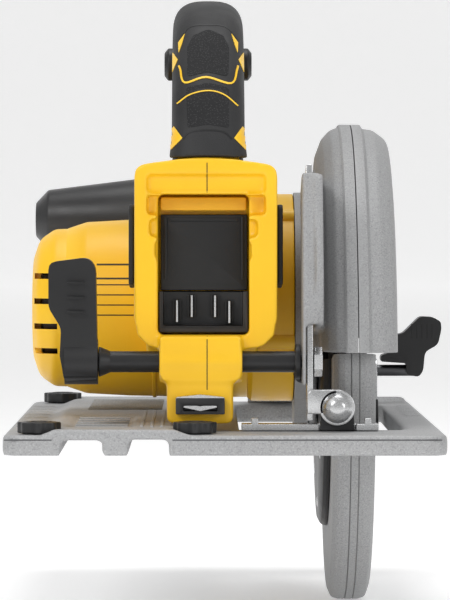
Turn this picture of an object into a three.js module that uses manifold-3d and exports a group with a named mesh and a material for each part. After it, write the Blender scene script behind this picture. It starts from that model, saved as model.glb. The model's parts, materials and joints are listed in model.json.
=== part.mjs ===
// Cordless circular saw, without its battery. Millimetres, +Z up, +Y is the cutting direction.
// The origin lies on the underside of the shoe, below the blade's arbor and midway across the shoe.
import * as THREE from 'three';
import { mergeVertices } from 'three/addons/utils/BufferGeometryUtils.js';
import Module from 'manifold-3d';

const wasm = await Module();
wasm.setup();

// ---------------------------------------------------------------- driving dimensions
const GAP = 0.3; // clearance between neighbouring pieces

const SHOE = { halfWidth: 87, halfLength: 145, top: 8, raised: 10.3, corner: 8 };
const SLOT = { left: 6, right: 72, rear: -104, front: 112, corner: 7 };
const RAIL_CHANNELS = [
  { left: -64.1, right: -47.9, roof: 6.0 },
  { left: -37.5, right: -21.9, roof: 6.2 },
];

const ARBOR = { y: 0, z: 28 };
const BLADE = { x: 51.9, thickness: 1.2, radius: 92, bore: 8.2, teeth: 24 };
const GUARD_BOTTOM = 38.6;
const LOWER_GUARD = { left: 44, right: 61, radius: 97, wall: 1.8, hub: 17.5, ring: 30 };
const LOWER_GUARD_ANGLES = { front: -4, rear: 174 }; // the open half, seen from the blade side

const BEVEL = { x: 44.5, z: 17.5 }; // tilt axis, along Y
const DEPTH = { y: 118, z: 24 }; // depth axis, along X
const CLAMP = { y: -110, z: 35.4 }; // depth clamp rod, along X
const DEPTH_TRAVEL = 18; // degrees

const GEAR_MODULE = 1.0192;
const GEAR_TEETH = 42;
const PINION_TEETH = 10;
const GEAR_LEFT = 31.7;
const MOTOR_Z = ARBOR.z + (GEAR_MODULE * (GEAR_TEETH + PINION_TEETH)) / 2;

const HOUSING = { left: -66, right: 29.5, radius: 38, inner: 34.2 };
const FLANGE = { z: 58.9, radius: 44.1, left: 10 };
const DISH = { left: 36, right: 39.2 }; // side wall between gear case and guard

const HANDLE_X = -6.5; // middle of grip, foot and battery slide
const SEAM_X = -7; // where the two handle halves meet
const FOOT = { left: -36, right: 21, rear: -110, front: -62, bottom: 40, top: 116.6 };
const STEM = { left: -23, right: 3.4, rear: -117, front: -100, bottom: 11 };
const BATTERY_POCKET = { left: -26.6, right: 9.8, bottom: 46, top: 102, floor: -94.5 };

const LOCK_OFF = { y: 25, z: 159, radius: 7 };
const TRIGGER_PIVOT = { y: 13, z: 159 };
const LOCK_SHAFT = { y: 126, z: 23 };

// ---------------------------------------------------------------- finishes
const finish = (color, roughness, metalness) =>
  new THREE.MeshStandardMaterial({ color, roughness, metalness });
const YELLOW = finish('#f2b01e', 0.5, 0);
const BLACK = finish('#1a1a1a', 0.6, 0);
const RUBBER = finish('#343434', 0.85, 0);
const CASTING = finish('#a7a9ab', 0.6, 0.7);
const PLATE = finish('#bdbfc1', 0.55, 0.7);
const STEEL = finish('#c8cacc', 0.3, 0.9);
const DARK_STEEL = finish('#6e7072', 0.4, 0.9);
const COPPER = finish('#a2683f', 0.5, 0.6);
const BOARD = finish('#2d6b41', 0.6, 0);

// ---------------------------------------------------------------- shape helpers
const radians = THREE.MathUtils.degToRad;

// Closed outline from [a, b, setback] corners; a corner with a setback is rounded.
function outline(corners) {
  const shape = new THREE.Shape();
  const at = (i) => {
    const [a, b] = corners[(i + corners.length) % corners.length];
    return new THREE.Vector2(a, b);
  };
  const towards = (corner, neighbour, setback) => {
    const edge = neighbour.clone().sub(corner);
    return corner.clone().add(edge.setLength(Math.min(setback, 0.45 * edge.length())));
  };
  corners.forEach(([, , setback = 0], i) => {
    const corner = at(i);
    const before = towards(corner, at(i - 1), setback);
    const after = towards(corner, at(i + 1), setback);
    if (i === 0) shape.moveTo(before.x, before.y);
    else shape.lineTo(before.x, before.y);
    if (setback > 0) shape.quadraticCurveTo(corner.x, corner.y, after.x, after.y);
  });
  shape.closePath();
  return shape;
}

function disc(a, b, radius) {
  return new THREE.Shape().absarc(a, b, radius, 0, 2 * Math.PI);
}

function rectangle(a0, a1, b0, b1, setback = 0) {
  return outline([[a0, b0, setback], [a1, b0, setback], [a1, b1, setback], [a0, b1, setback]]);
}

// Ring sector between two radii, from one angle to the other in degrees.
function sector(a, b, inner, outer, from, to) {
  const shape = new THREE.Shape();
  shape.absarc(a, b, outer, radians(from), radians(to), false);
  shape.absarc(a, b, inner, radians(to), radians(from), true);
  shape.closePath();
  return shape;
}

// A prism of an outline, with its edges broken by a chamfer if one is given.
function prism(shape, length, chamfer = 0, curveSegments = 3) {
  const geometry = new THREE.ExtrudeGeometry(shape, {
    depth: length - 2 * chamfer,
    bevelEnabled: chamfer > 0,
    bevelThickness: chamfer,
    bevelSize: chamfer,
    bevelOffset: -chamfer,
    bevelSegments: 1,
    curveSegments,
  });
  return geometry.translate(0, 0, chamfer);
}

const TO_X = new THREE.Matrix4().makeBasis(
  new THREE.Vector3(0, 1, 0), new THREE.Vector3(0, 0, 1), new THREE.Vector3(1, 0, 0));

// Outline in (y, z), (x, z) or (x, y), extruded along the axis left over.
const alongX = (shape, x0, x1, chamfer, segments) =>
  prism(shape, x1 - x0, chamfer, segments).applyMatrix4(TO_X).translate(x0, 0, 0);
const alongY = (shape, y0, y1, chamfer, segments) =>
  prism(shape, y1 - y0, chamfer, segments).rotateX(Math.PI / 2).translate(0, y1, 0);
const alongZ = (shape, z0, z1, chamfer, segments) =>
  prism(shape, z1 - z0, chamfer, segments).translate(0, 0, z0);

const box = (x0, x1, y0, y1, z0, z1) =>
  new THREE.BoxGeometry(x1 - x0, y1 - y0, z1 - z0)
    .translate((x0 + x1) / 2, (y0 + y1) / 2, (z0 + z1) / 2);

// A turned piece from [radius, distance along the axis] points.
const turned = (profile, segments = 16) =>
  new THREE.LatheGeometry(profile.map(([r, t]) => new THREE.Vector2(r, t)), segments);
const aroundX = (profile, segments) => turned(profile, segments).rotateZ(-Math.PI / 2);
const aroundY = (profile, segments) => turned(profile, segments);
const aroundZ = (profile, segments) => turned(profile, segments).rotateX(Math.PI / 2);

const ringProfile = (inner, outer, t0, t1) =>
  [[inner, t0], [outer, t0], [outer, t1], [inner, t1], [inner, t0]];
const cylinderX = (radius, x0, x1, y = 0, z = 0, segments = 16) =>
  aroundX([[0, x0], [radius, x0], [radius, x1], [0, x1]], segments).translate(0, y, z);

function sweep(curve, section, steps) {
  return new THREE.ExtrudeGeometry(section, { extrudePath: curve, steps, curveSegments: 2 });
}

const inYZ = (points, x) => points.map(([y, z]) => new THREE.Vector3(x, y, z));

// ---------------------------------------------------------------- joining and cutting
// Closed triangle mesh, as a solid whose faces point outwards.
function solid(shape) {
  if (!shape.isBufferGeometry) return shape;
  const bare = new THREE.BufferGeometry();
  bare.setAttribute('position', shape.getAttribute('position').clone());
  bare.setIndex(shape.index ? shape.index.clone() : null);
  const merged = mergeVertices(bare, 1e-4);
  const place = merged.getAttribute('position').array;
  const index = merged.index.array;
  const point = (i) => new THREE.Vector3().fromArray(place, 3 * i);
  const triangles = [];
  let volume = 0;
  for (let i = 0; i < index.length; i += 3) {
    const [a, b, c] = index.slice(i, i + 3);
    if (a === b || b === c || c === a) continue;
    triangles.push([a, b, c]);
    volume += point(a).dot(point(b).cross(point(c)));
  }
  const order = volume < 0 ? ([a, b, c]) => [a, c, b] : (triangle) => triangle;
  const triVerts = Uint32Array.from(triangles.flatMap(order));
  const vertProperties = Float32Array.from(place);
  return new wasm.Manifold(new wasm.Mesh({ numProp: 3, vertProperties, triVerts }));
}

const join = (...shapes) => shapes.map(solid).reduce((a, b) => a.add(b));
const cut = (shape, ...tools) => tools.map(solid).reduce((a, b) => a.subtract(b), solid(shape));
const common = (a, b) => solid(a).intersect(solid(b));

function piece(name, shape, material) {
  const mesh = solid(shape).getMesh();
  const geometry = new THREE.BufferGeometry();
  geometry.setAttribute('position', new THREE.BufferAttribute(mesh.vertProperties, mesh.numProp));
  geometry.setIndex(new THREE.BufferAttribute(mesh.triVerts, 1));
  const made = new THREE.Mesh(geometry, material);
  made.name = name;
  return made;
}

function group(position, ...children) {
  const made = new THREE.Group();
  made.position.set(...position);
  made.add(...children);
  return made;
}

// ---------------------------------------------------------------- shoe
const KNOB_RADIUS = 8.6;
const KNOB_PLACES = {
  rail_knob_front: [-72.8, 128],
  rail_knob_rear: [-72.8, -134],
  fence_knob: [-11.8, -134],
};

function shoePlate() {
  const { halfWidth: w, halfLength: l, top, raised, corner } = SHOE;
  const channels = RAIL_CHANNELS.flatMap(({ left, right, roof }) =>
    [[left, 0], [left, roof], [right, roof], [right, 0]]);
  const section = outline([
    [-w, 0], ...channels, [w, 0], [w, top, 2], [-13.4, top], [-20.3, raised],
    [-66.6, raised], [-72.2, top], [-w, top, 2],
  ]);
  const plan = alongZ(rectangle(-w, w, -l, l, corner), -1, raised + 1);
  const body = common(alongY(section, -l, l), plan);
  const slot = alongZ(
    rectangle(SLOT.left, SLOT.right, SLOT.rear, SLOT.front, SLOT.corner), -1, raised + 1);
  const recess = box(-62, -36, -126, -31, raised - 0.9, raised + 1);
  const knobWells = Object.values(KNOB_PLACES).map(([x, y]) => aroundZ([
    [0, 3.5], [3, 3.5], [3, top], [KNOB_RADIUS + 0.8, top], [KNOB_RADIUS + 0.8, raised + 1], [0, raised + 1],
  ], 16).translate(x, y, 0));
  const ribs = [];
  for (let y = 4; y < 100; y += 12) ribs.push(box(78, 84, y, y + 3, top - 1, top + 0.8));
  for (let y = -84; y < 90; y += 24) ribs.push(box(-84.5, -74.5, y, y + 4, top - 1, top + 0.8));
  const lip = box(63, 84, 136.5, 141.5, top - 1, top + 2.4);
  return cut(join(cut(body, slot, recess), ...ribs, lip), ...knobWells);
}

// Steel strip across the rear of the shoe, notched where the pivot ear stands.
function rearStrip() {
  const plate = box(6.7, 61, -116.5, -105.5, SHOE.top + GAP, 10.9);
  const notch = box(37.3, 52.1, -117, -113.9, SHOE.top, 12);
  const tabs = [10.6, 55.4].map((x) => box(x, x + 2.7, -116.5, -112, 10, 13.2));
  return join(cut(plate, notch), ...tabs);
}

function rearPivotEar() {
  const shape = outline([
    [37.8, SHOE.top + GAP], [51.6, SHOE.top + GAP], [50.9, 18, 2], [48.4, 24, 3],
    [40.6, 24, 3], [38.2, 18, 2],
  ]);
  const bore = aroundY([[0, -120], [3, -120], [3, -110], [0, -110]], 16)
    .translate(BEVEL.x, 0, BEVEL.z);
  return cut(alongY(shape, -116.6, -114.3), bore);
}

// Upright plate at the front of the shoe, with the arc slot that the tilt clamp slides in.
const TILT_SLOT = { radius: 32, from: 83, to: 151, halfWidth: 3.1 };
const TILT_BOLT_ANGLE = 145; // degrees round the tilt axis, with the saw upright
function frontQuadrant() {
  const { x, z } = BEVEL;
  const { radius, from, to, halfWidth } = TILT_SLOT;
  const base = outline([[12, SHOE.top + GAP], [56, SHOE.top + GAP], [54, 24, 4], [44, 40], [14, 34]]);
  const fan = sector(x, z, 1, 38.5, 76, 158);
  const slot = sector(x, z, radius - halfWidth, radius + halfWidth, from, to);
  const bore = aroundY([[0, 125], [3, 125], [3, 140], [0, 140]], 16).translate(x, 0, z);
  const plate = join(alongY(base, 130.4, 132.9), alongY(fan, 130.4, 132.9, 0, 6));
  const foot = box(12, 56, 132.5, 143, SHOE.top + GAP, 10.6);
  const trim = box(0, 60, 125, 140, 0, SHOE.top + GAP);
  return cut(join(plate, foot), alongY(slot, 129, 134, 0, 7), bore, trim);
}

// U bracket that carries the tilt lock's cam shaft.
function lockBracket() {
  const { y, z } = LOCK_SHAFT;
  const cheek = outline([
    [y - 7, SHOE.top + GAP], [y + 7, SHOE.top + GAP], [y + 7, z, 2], [y + 4, z + 5.5, 3],
    [y - 4, z + 5.5, 3], [y - 7, z, 2],
  ]);
  const cheeks = [60, 68.5].map((x) => alongX(cheek, x, x + 2.5));
  const base = box(60, 71, y - 7, y + 7, SHOE.top + GAP, 10.4);
  return cut(join(...cheeks, base), cylinderX(3, 58, 73, y, z, 16));
}

// Lobed hand knob with its stud, about its own axis.
function knob() {
  const lobes = new THREE.Shape();
  const count = 32;
  for (let i = 0; i < count; i += 1) {
    const angle = (2 * Math.PI * i) / count;
    const radius = KNOB_RADIUS - 0.5 + 0.5 * Math.cos(8 * angle);
    const [a, b] = [radius * Math.cos(angle), radius * Math.sin(angle)];
    if (i === 0) lobes.moveTo(a, b);
    else lobes.lineTo(a, b);
  }
  lobes.closePath();
  const head = alongZ(lobes, SHOE.top + GAP, 13);
  const stud = aroundZ([[0, 4], [2.6, 4], [2.6, 9], [0, 9]], 10);
  return join(head, stud);
}

function bevelLever() {
  const { y } = LOCK_SHAFT;
  const side = outline([
    [84.3, 21.2, 1.5], [90, 20.2, 1.5], [92, 23, 1.5], [92.8, 31.6, 2], [98.8, 35, 2], [100.3, 42, 1],
    [100.1, 45.4, 1.2], [96.5, 47.5, 1.2], [90.5, 47.8, 1.5], [82.6, 40, 1.5], [78, 39.4, 1],
    [77, 31.5, 2], [72.6, 30, 1],
    [72.6, 27.2, 1], [84.2, 26.4, 1],
  ]);
  const bore = cylinderX(2.9, 72, 88, y, LOCK_SHAFT.z, 16);
  return cut(alongY(side, y - 6, y + 6), bore);
}

// Steel rod with the cam lobe between the bracket's cheeks.
function bevelLockShaft() {
  const { y, z } = LOCK_SHAFT;
  const rod = cylinderX(2.6, 58.5, 87.5, y, z, 16);
  const cam = cylinderX(4.6, 62.9, 68.1, y, z + 1.2, 16);
  const head = cylinderX(4.2, 57.3, 59.6, y, z, 16);
  return join(rod, cam, head);
}

// ---------------------------------------------------------------- tilting carrier
// Angle of a point on the depth arc, measured up from straight back.
const CLAMP_RADIUS = Math.hypot(CLAMP.y - DEPTH.y, CLAMP.z - DEPTH.z);
const CLAMP_ANGLE = (Math.asin((CLAMP.z - DEPTH.z) / CLAMP_RADIUS) * 180) / Math.PI;
const depthArc = (inner, outer, low, high) =>
  sector(DEPTH.y, DEPTH.z, inner, outer, 180 - high, 180 - low);

function depthBracket() {
  const plate = alongX(depthArc(221.5, 234.6, -2.9, 22.6), 32.6, 35, 0, 9);
  const slot = depthArc(CLAMP_RADIUS - 3, CLAMP_RADIUS + 3,
    CLAMP_ANGLE - 0.9, CLAMP_ANGLE + DEPTH_TRAVEL + 0.9);
  return cut(plate, alongX(slot, 32, 36, 0, 9));
}

function rearPivotPlate() {
  const ring = disc(BEVEL.x, BEVEL.z, 7.4);
  const tail = outline([[32.6, 15], [40, 15], [BEVEL.x, 11], [BEVEL.x, 24.9], [34, 24.9, 1], [32.6, 23]]);
  const bore = aroundY([[0, -122], [3, -122], [3, -116], [0, -116]], 16)
    .translate(BEVEL.x, 0, BEVEL.z);
  return cut(join(alongY(ring, -119.2, -117, 0, 12), alongY(tail, -119.2, -117)), bore);
}

// Domed rivet on the tilt axis; the front one is the same piece turned round.
function pivotRivet() {
  return aroundY([
    [0, -6.2], [3.4, -5.7], [5.3, -4.1], [6, -2], [6, -0.4], [2.7, -0.4], [2.7, 6.6],
    [4.2, 6.6], [4.2, 8], [0, 8],
  ], 12);
}

function frontCarrier() {
  const { x, z } = BEVEL;
  const bolt = tiltBoltPlace();
  const face = outline([
    [12, 12, 3], [38, 9.5], [x, z - 8.6], [x, z + 8.6], [35.1, 30], [bolt.x, bolt.z + 7, 6],
    [bolt.x - 6.5, bolt.z, 4],
  ]);
  const eye = disc(x, z, 8.7);
  const plate = join(alongY(face, 127.5, 130), alongY(eye, 127.5, 130, 0, 7));
  const ear = outline([
    [DEPTH.y - 8.5, 15.5, 4], [128, 15.5], [128, 32.5], [DEPTH.y - 8.5, 32.5, 4],
  ]);
  const ears = [12, 32.6].map((left) => alongX(ear, left, left + 2.5));
  const pinHole = cylinderX(3.8, 10, 38, DEPTH.y, DEPTH.z, 12);
  const holeY = (radius, hx, hz) =>
    aroundY([[0, 125], [radius, 125], [radius, 134], [0, 134]], 10).translate(hx, 0, hz);
  return cut(join(plate, ...ears), pinHole, holeY(3, x, z), holeY(2.8, bolt.x, bolt.z));
}

function tiltBoltPlace() {
  const angle = radians(TILT_BOLT_ANGLE);
  return {
    x: BEVEL.x + TILT_SLOT.radius * Math.cos(angle),
    z: BEVEL.z + TILT_SLOT.radius * Math.sin(angle),
  };
}

const tiltClampBolt = () => aroundY([
  [0, 125.2], [3.7, 125.2], [3.7, 127.2], [2.5, 127.2], [2.5, 133.3], [6, 133.3], [6, 137], [0, 137],
], 12);

const depthPivotPin = () => aroundX([
  [0, 9.3], [6, 9.3], [6, 11.7], [3.5, 11.7], [3.5, 35.4], [5, 35.4], [5, 37.4], [0, 37.4],
], 12);

// ---------------------------------------------------------------- depth clamp
function depthLever() {
  const side = outline([
    [-69.9, 57, 2], [-69.9, 75, 3], [-54.4, 77, 3], [-51.2, 73.5, 3], [-50.4, 28.6, 1.5],
    [-63.6, 28, 1.5], [-65.4, 38], [-64.9, 49, 2],
  ]);
  const blade = alongY(side, CLAMP.y - 6.5, CLAMP.y + 6.5);
  const hub = cylinderX(9, -63.6, -50.4, CLAMP.y, CLAMP.z, 20);
  const bore = cylinderX(3.8, -60, -50, CLAMP.y, CLAMP.z, 16);
  return cut(join(blade, hub), bore);
}

const depthRod = () => aroundX([
  [0, -59], [3.5, -59], [3.5, -50.1], [6.2, -50.1], [4.2, -45.5], [4.2, 27.9], [7, 27.9],
  [7, 30.2], [2.6, 30.2], [2.6, 38.8], [0, 38.8],
], 12);

const clampNut = () => cut(
  cylinderX(6, 35.4, 38.9, 0, 0, 6), cylinderX(2.9, 35, 39.5, 0, 0, 16));

// ---------------------------------------------------------------- guards
const GUARD_LEFT_PROFILE = [
  [104, 53.4], [103.6, 49.5], [101.8, 45], [98, 41.6], [91, 39], [67, 39], [67, 42.3],
  [91, 42.3], [96, 43.8], [98.9, 46.5], [100.4, 50], [100.5, 53.4], [104, 53.4],
];
const GUARD_RIGHT_PROFILE = [
  [104.4, 53.8], [104.4, 58], [103.2, 59], [101.6, 63], [98, 67], [91, 70], [60, 70],
  [60, 66.6], [91, 66.6], [95.5, 64.6], [98.9, 61], [100.4, 57.5], [100.5, 53.8], [104.4, 53.8],
];
const belowGuard = () => box(20, 80, -130, 130, -120, GUARD_BOTTOM);

// Inner half of the upper guard: rim, side wall, gear-case face, spindle boss, bracket shroud.
function upperGuardInner() {
  const rim = aroundX(GUARD_LEFT_PROFILE, 52).translate(0, ARBOR.y, ARBOR.z);
  const dish = join(
    alongX(disc(ARBOR.y, ARBOR.z, 71), DISH.left, DISH.right, 0, 14),
    alongX(disc(ARBOR.y, 57, 55), DISH.left, DISH.right, 0, 12));
  const bridge = alongX(
    outline([[-116.5, 50, 3], [-119.5, 70, 8], [-105.5, 110.5, 3], [-50, 108], [-50, 45]]),
    DISH.left, DISH.right);
  const hub = cylinderX(25.8, DISH.left, DISH.right, ARBOR.y, ARBOR.z, 24);
  const boss = cylinderX(17, DISH.right - 1, 48.4, ARBOR.y, ARBOR.z, 24);
  const shroudWall = alongX(depthArc(219, 238.5, 0.5, 21.4), 30.7, 32.2, 0, 6);
  const shroudBack = alongX(depthArc(235.2, 238.5, 6.4, 21.4), 31, 37, 0, 6);
  const shell = join(cut(join(rim, dish, bridge), belowGuard()), hub, boss, shroudWall, shroudBack);
  const seat = cylinderX(13.3, 36.8, 50, ARBOR.y, ARBOR.z, 16);
  const shaft = cylinderX(8, 35, 40, ARBOR.y, ARBOR.z, 20);
  const rodHole = cylinderX(3, 30, 33, CLAMP.y, CLAMP.z, 16);
  return cut(shell, seat, shaft, rodHole);
}

function upperGuardOuter() {
  const rim = aroundX(GUARD_RIGHT_PROFILE, 52).translate(0, ARBOR.y, ARBOR.z);
  return cut(rim, belowGuard());
}

// The open half of a guard piece that turns about the arbor, left whole around its hub.
const openHalf = () => alongX(
  sector(0, 0, LOWER_GUARD.ring, 120, LOWER_GUARD_ANGLES.front, LOWER_GUARD_ANGLES.rear),
  36, 74, 0, 12);

function lowerGuard() {
  const { left, right, radius: r, hub } = LOWER_GUARD;
  const inner = left + LOWER_GUARD.wall;
  const outer = right - LOWER_GUARD.wall;
  const shell = aroundX([
    [r, 47.5], [r, 57.5], [r - 1, 60], [r - 4, right], [70, right], [70, outer], [r - 4.5, outer],
    [r - 2.2, 58], [r - 1.8, 57], [r - 1.8, 48], [r - 2.2, 46.6], [r - 4.5, inner], [hub, inner],
    [hub, left], [r - 4, left], [r - 1, 45], [r, 47.5],
  ], 44);
  return cut(shell, openHalf());
}

function guardHubPlate() {
  const plate = aroundX([
    [17.5, 39.9], [64.4, 39.9], [66, 41.4], [66, 43.6], [17.5, 43.6], [17.5, 39.9],
  ], 32);
  return cut(plate, openHalf());
}

function guardLever() {
  const pad = alongX(sector(0, 0, 72, 94, -27, -9), 61.3, 63, 0, 4);
  const tab = alongX(sector(0, 0, 76, 84, -24, -12), 62.5, 69.4, 0, 4);
  return join(pad, tab);
}

// Torsion spring on the spindle boss that pulls the lower guard shut.
function guardSpring() {
  const points = [];
  const turns = 1.6;
  for (let i = 0; i <= 20; i += 1) {
    const angle = (2 * Math.PI * turns * i) / 20;
    points.push(new THREE.Vector3(46.6 + (1.3 * i) / 20, 18.4 * Math.cos(angle), 18.4 * Math.sin(angle)));
  }
  return sweep(new THREE.CatmullRomCurve3(points), disc(0, 0, 0.35), 20);
}

// ---------------------------------------------------------------- blade and spindle
function spindle() {
  return aroundX([
    [0, 25.4], [4.4, 25.4], [4.4, 31.3], [6, 31.3], [6, 35.5], [7.5, 35.5], [7.5, 46.2],
    [6, 46.2], [6, 51.5], [3.2, 51.5], [3.2, 44], [0, 44],
  ], 14);
}

// Spur gear blank with straight-sided teeth, one of them pointing along `start`.
function gear(teeth, width, bore, start) {
  const pitch = (GEAR_MODULE * teeth) / 2;
  const [root, tip] = [pitch - 1.12 * GEAR_MODULE, pitch + 0.78 * GEAR_MODULE];
  const step = (2 * Math.PI) / teeth;
  const shape = new THREE.Shape();
  for (let i = 0; i < teeth; i += 1) {
    const middle = radians(start) + i * step;
    const corners = [[root, -0.29], [tip, -0.12], [tip, 0.12], [root, 0.29]];
    corners.forEach(([radius, offset], k) => {
      const angle = middle + offset * step;
      const [a, b] = [radius * Math.cos(angle), radius * Math.sin(angle)];
      if (i + k === 0) shape.moveTo(a, b);
      else shape.lineTo(a, b);
    });
  }
  shape.closePath();
  if (bore > 0) shape.holes.push(new THREE.Path().absarc(0, 0, bore, 0, 2 * Math.PI, true));
  return alongX(shape, GEAR_LEFT, GEAR_LEFT + width, 0, 8);
}

const innerFlange = () => aroundX([
  [6.3, 46.8], [11, 46.8], [11, 49], [21, 49], [21, 51.6], [7.9, 51.6], [7.9, 52.9],
  [6.3, 52.9], [6.3, 46.8],
], 16);

const outerFlange = () => aroundX([
  [3.3, 53.4], [21, 53.4], [21, 54.8], [12, 56], [3.3, 56], [3.3, 53.4],
], 16);

function sawBlade() {
  const { radius, bore, teeth, thickness, x } = BLADE;
  const step = (2 * Math.PI) / teeth;
  const shape = new THREE.Shape();
  const tooth = [
    [radius - 7, 0.04], [radius - 10, 0.2], [radius - 4.5, 0.4], [radius - 2, 0.85], [radius, 1],
  ];
  for (let i = 0; i < teeth; i += 1) {
    tooth.forEach(([r, offset], k) => {
      const angle = (i + offset) * step;
      const [a, b] = [r * Math.cos(angle), r * Math.sin(angle)];
      if (i + k === 0) shape.moveTo(a, b);
      else shape.lineTo(a, b);
    });
  }
  shape.closePath();
  shape.holes.push(new THREE.Path().absarc(0, 0, bore, 0, 2 * Math.PI, true));
  return alongX(shape, x, x + thickness, 0, 12);
}

const bladeBolt = () => join(
  cylinderX(7.4, 56.4, 61.2, 0, 0, 6),
  aroundX([[0, 45], [2.9, 45], [2.9, 57], [0, 57]], 16));

// ---------------------------------------------------------------- gear case and motor
function gearCase() {
  const back = 29.8;
  const front = 35.7;
  const plate = join(
    alongX(disc(0, 57, 46.5), back, front, 0, 12),
    alongX(disc(ARBOR.y, ARBOR.z, 26), back, front, 0, 12),
    alongX(outline([[-25.8, 30], [-42, 40], [-42, 60], [42, 60], [42, 40], [25.8, 30]]), back, front));
  const arm = alongX(
    outline([[22, 34], [34, 68], [56, 52], [106, 33], [126, 31, 8], [126, 16, 8], [60, 17], [27, 19]]),
    15.2, 31.8);
  const armRoot = alongX(outline([[20, 32], [34, 66], [56, 50], [98, 34], [60, 19], [24, 20]]), 29.8, 35.7);
  const flangeRoom = cylinderX(FLANGE.radius + 0.6, 10, 29.8, 0, FLANGE.z, 32);
  const needleBoss = cylinderX(9.6, 24, 30.5, ARBOR.y, ARBOR.z);
  const bearingBoss = cylinderX(14.2, 21.5, 30.5, 0, MOTOR_Z);
  const lockBoss = aroundY([[0, -33], [2.9, -33], [2.9, -24.5], [0, -24.5]], 16).translate(32.7, 0, ARBOR.z);
  const body = join(plate, cut(join(arm, armRoot), flangeRoom), needleBoss, bearingBoss, lockBoss);
  const gearRoom = join(
    cylinderX(24.2, 31.4, 36.5, ARBOR.y, ARBOR.z, 24),
    cylinderX(8.6, 31.4, 36.5, 0, MOTOR_Z, 20));
  const needleSeat = cylinderX(6.6, 25.1, 32, ARBOR.y, ARBOR.z, 20);
  const bearingSeat = cylinderX(11.3, 20, 28.6, 0, MOTOR_Z);
  const shaftHole = cylinderX(6.2, 28, 32, 0, MOTOR_Z, 20);
  const lockHole = aroundY([[0, -40], [1.9, -40], [1.9, -20], [0, -20]], 12).translate(32.7, 0, ARBOR.z);
  const pinHole = cylinderX(3.8, 14, 33, DEPTH.y, DEPTH.z, 12);
  return cut(body, gearRoom, needleSeat, bearingSeat, shaftHole, lockHole, pinHole);
}

const bearing = (inner, outer, x0, x1) => aroundX(ringProfile(inner, outer, x0, x1), 16);

function motorHousing() {
  const { left, right, radius, inner } = HOUSING;
  const barrel = aroundX([
    [0, left], [33.8, left], [36.2, -58], [37.2, -40], [radius, -10], [radius, 20], [0, 20],
  ], 32).translate(0, 0, MOTOR_Z);
  const flange = alongX(disc(0, FLANGE.z, FLANGE.radius), FLANGE.left, right, 1.4, 16);
  const inside = aroundX([[0, -70], [31.2, -70], [31.2, -62], [inner, -56], [inner, 16], [0, 16]], 24)
    .translate(0, 0, MOTOR_Z);
  const flangeInside = alongX(disc(0, FLANGE.z, FLANGE.radius - 3), 12.8, right + 1, 0, 12);
  return cut(join(barrel, flange), inside, flangeInside);
}

// Rounded end of the motor, a cup with louvres that holds the rear bearing.
function motorEndCap() {
  const cup = aroundX([
    [0, -80.5], [22, -80.5], [26.8, -78.8], [31, -74], [33.6, HOUSING.left - GAP],
    [31, HOUSING.left - GAP], [28.6, -72.6], [24.8, -76.6], [12.5, -77.6], [12.5, -63.6],
    [9.3, -63.6], [9.3, -71], [0, -71],
  ], 24);
  const louvres = [-16, -5.5, 5, 15.5].flatMap((z) => [-1, 1].map((side) =>
    box(-79, -70.5, Math.min(18 * side, 38 * side), Math.max(18 * side, 38 * side), z - 1.1, z + 1.1)));
  return cut(cup, ...louvres);
}

function rotorShaft() {
  const shaft = aroundX([
    [0, -70.5], [4, -70.5], [4, -62], [4.8, -62], [4.8, 20.5], [4, 20.5], [4, 32], [0, 32],
  ], 12);
  return join(shaft, gear(PINION_TEETH, 3.5, 0, -90 + 180 / PINION_TEETH));
}

function fan() {
  const hub = aroundX(ringProfile(5.1, 11, 0, 9), 12);
  const disk = aroundX(ringProfile(5.1, 30, 0, 1.4), 16);
  const vanes = [];
  for (let i = 0; i < 7; i += 1) {
    vanes.push(box(1, 8, -0.7, 0.7, 9, 28.8).rotateX((2 * Math.PI * i) / 7));
  }
  return join(hub, disk, ...vanes);
}

const stator = () => aroundX(ringProfile(17, 33.6, -52, -4), 24);

// ---------------------------------------------------------------- handle
const HANDLE_PATH = [
  [-97, 112], [-91, 125], [-80, 141], [-64, 155], [-44, 165.2], [-20, 170], [4, 168.6], [25, 160],
  [38.5, 147], [44, 130], [42, 112], [36, 92],
];
const handleCurve = () => new THREE.CatmullRomCurve3(inYZ(HANDLE_PATH, HANDLE_X));

// Sweep of a rounded rectangle along the handle, `width` across and `height` in its plane.
function handleBar(width, height, rounding, steps = 15) {
  const section = rectangle(-width / 2, width / 2, -height / 2, height / 2, rounding);
  return sweep(handleCurve(), section, steps);
}

const triggerRoom = () => alongX(
  outline([[-20.5, 135], [-20.5, 172], [17.5, 172], [17.5, 154], [13.5, 148], [11, 135]]), -14.2, 1.2);
const lockOffRoom = () => cylinderX(LOCK_OFF.radius + 0.4, -30, 18, LOCK_OFF.y, LOCK_OFF.z, 16);

function grip() {
  const outside = handleBar(31, 28, 11);
  const inside = handleBar(24.6, 21.6, 8);
  const foot = box(-40, 30, -130, -60, 90, FOOT.top + GAP + 1);
  const front = box(-40, 30, -20, 80, 60, 113.5);
  return cut(outside, inside, foot, front, triggerRoom(), lockOffRoom());
}

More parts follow.
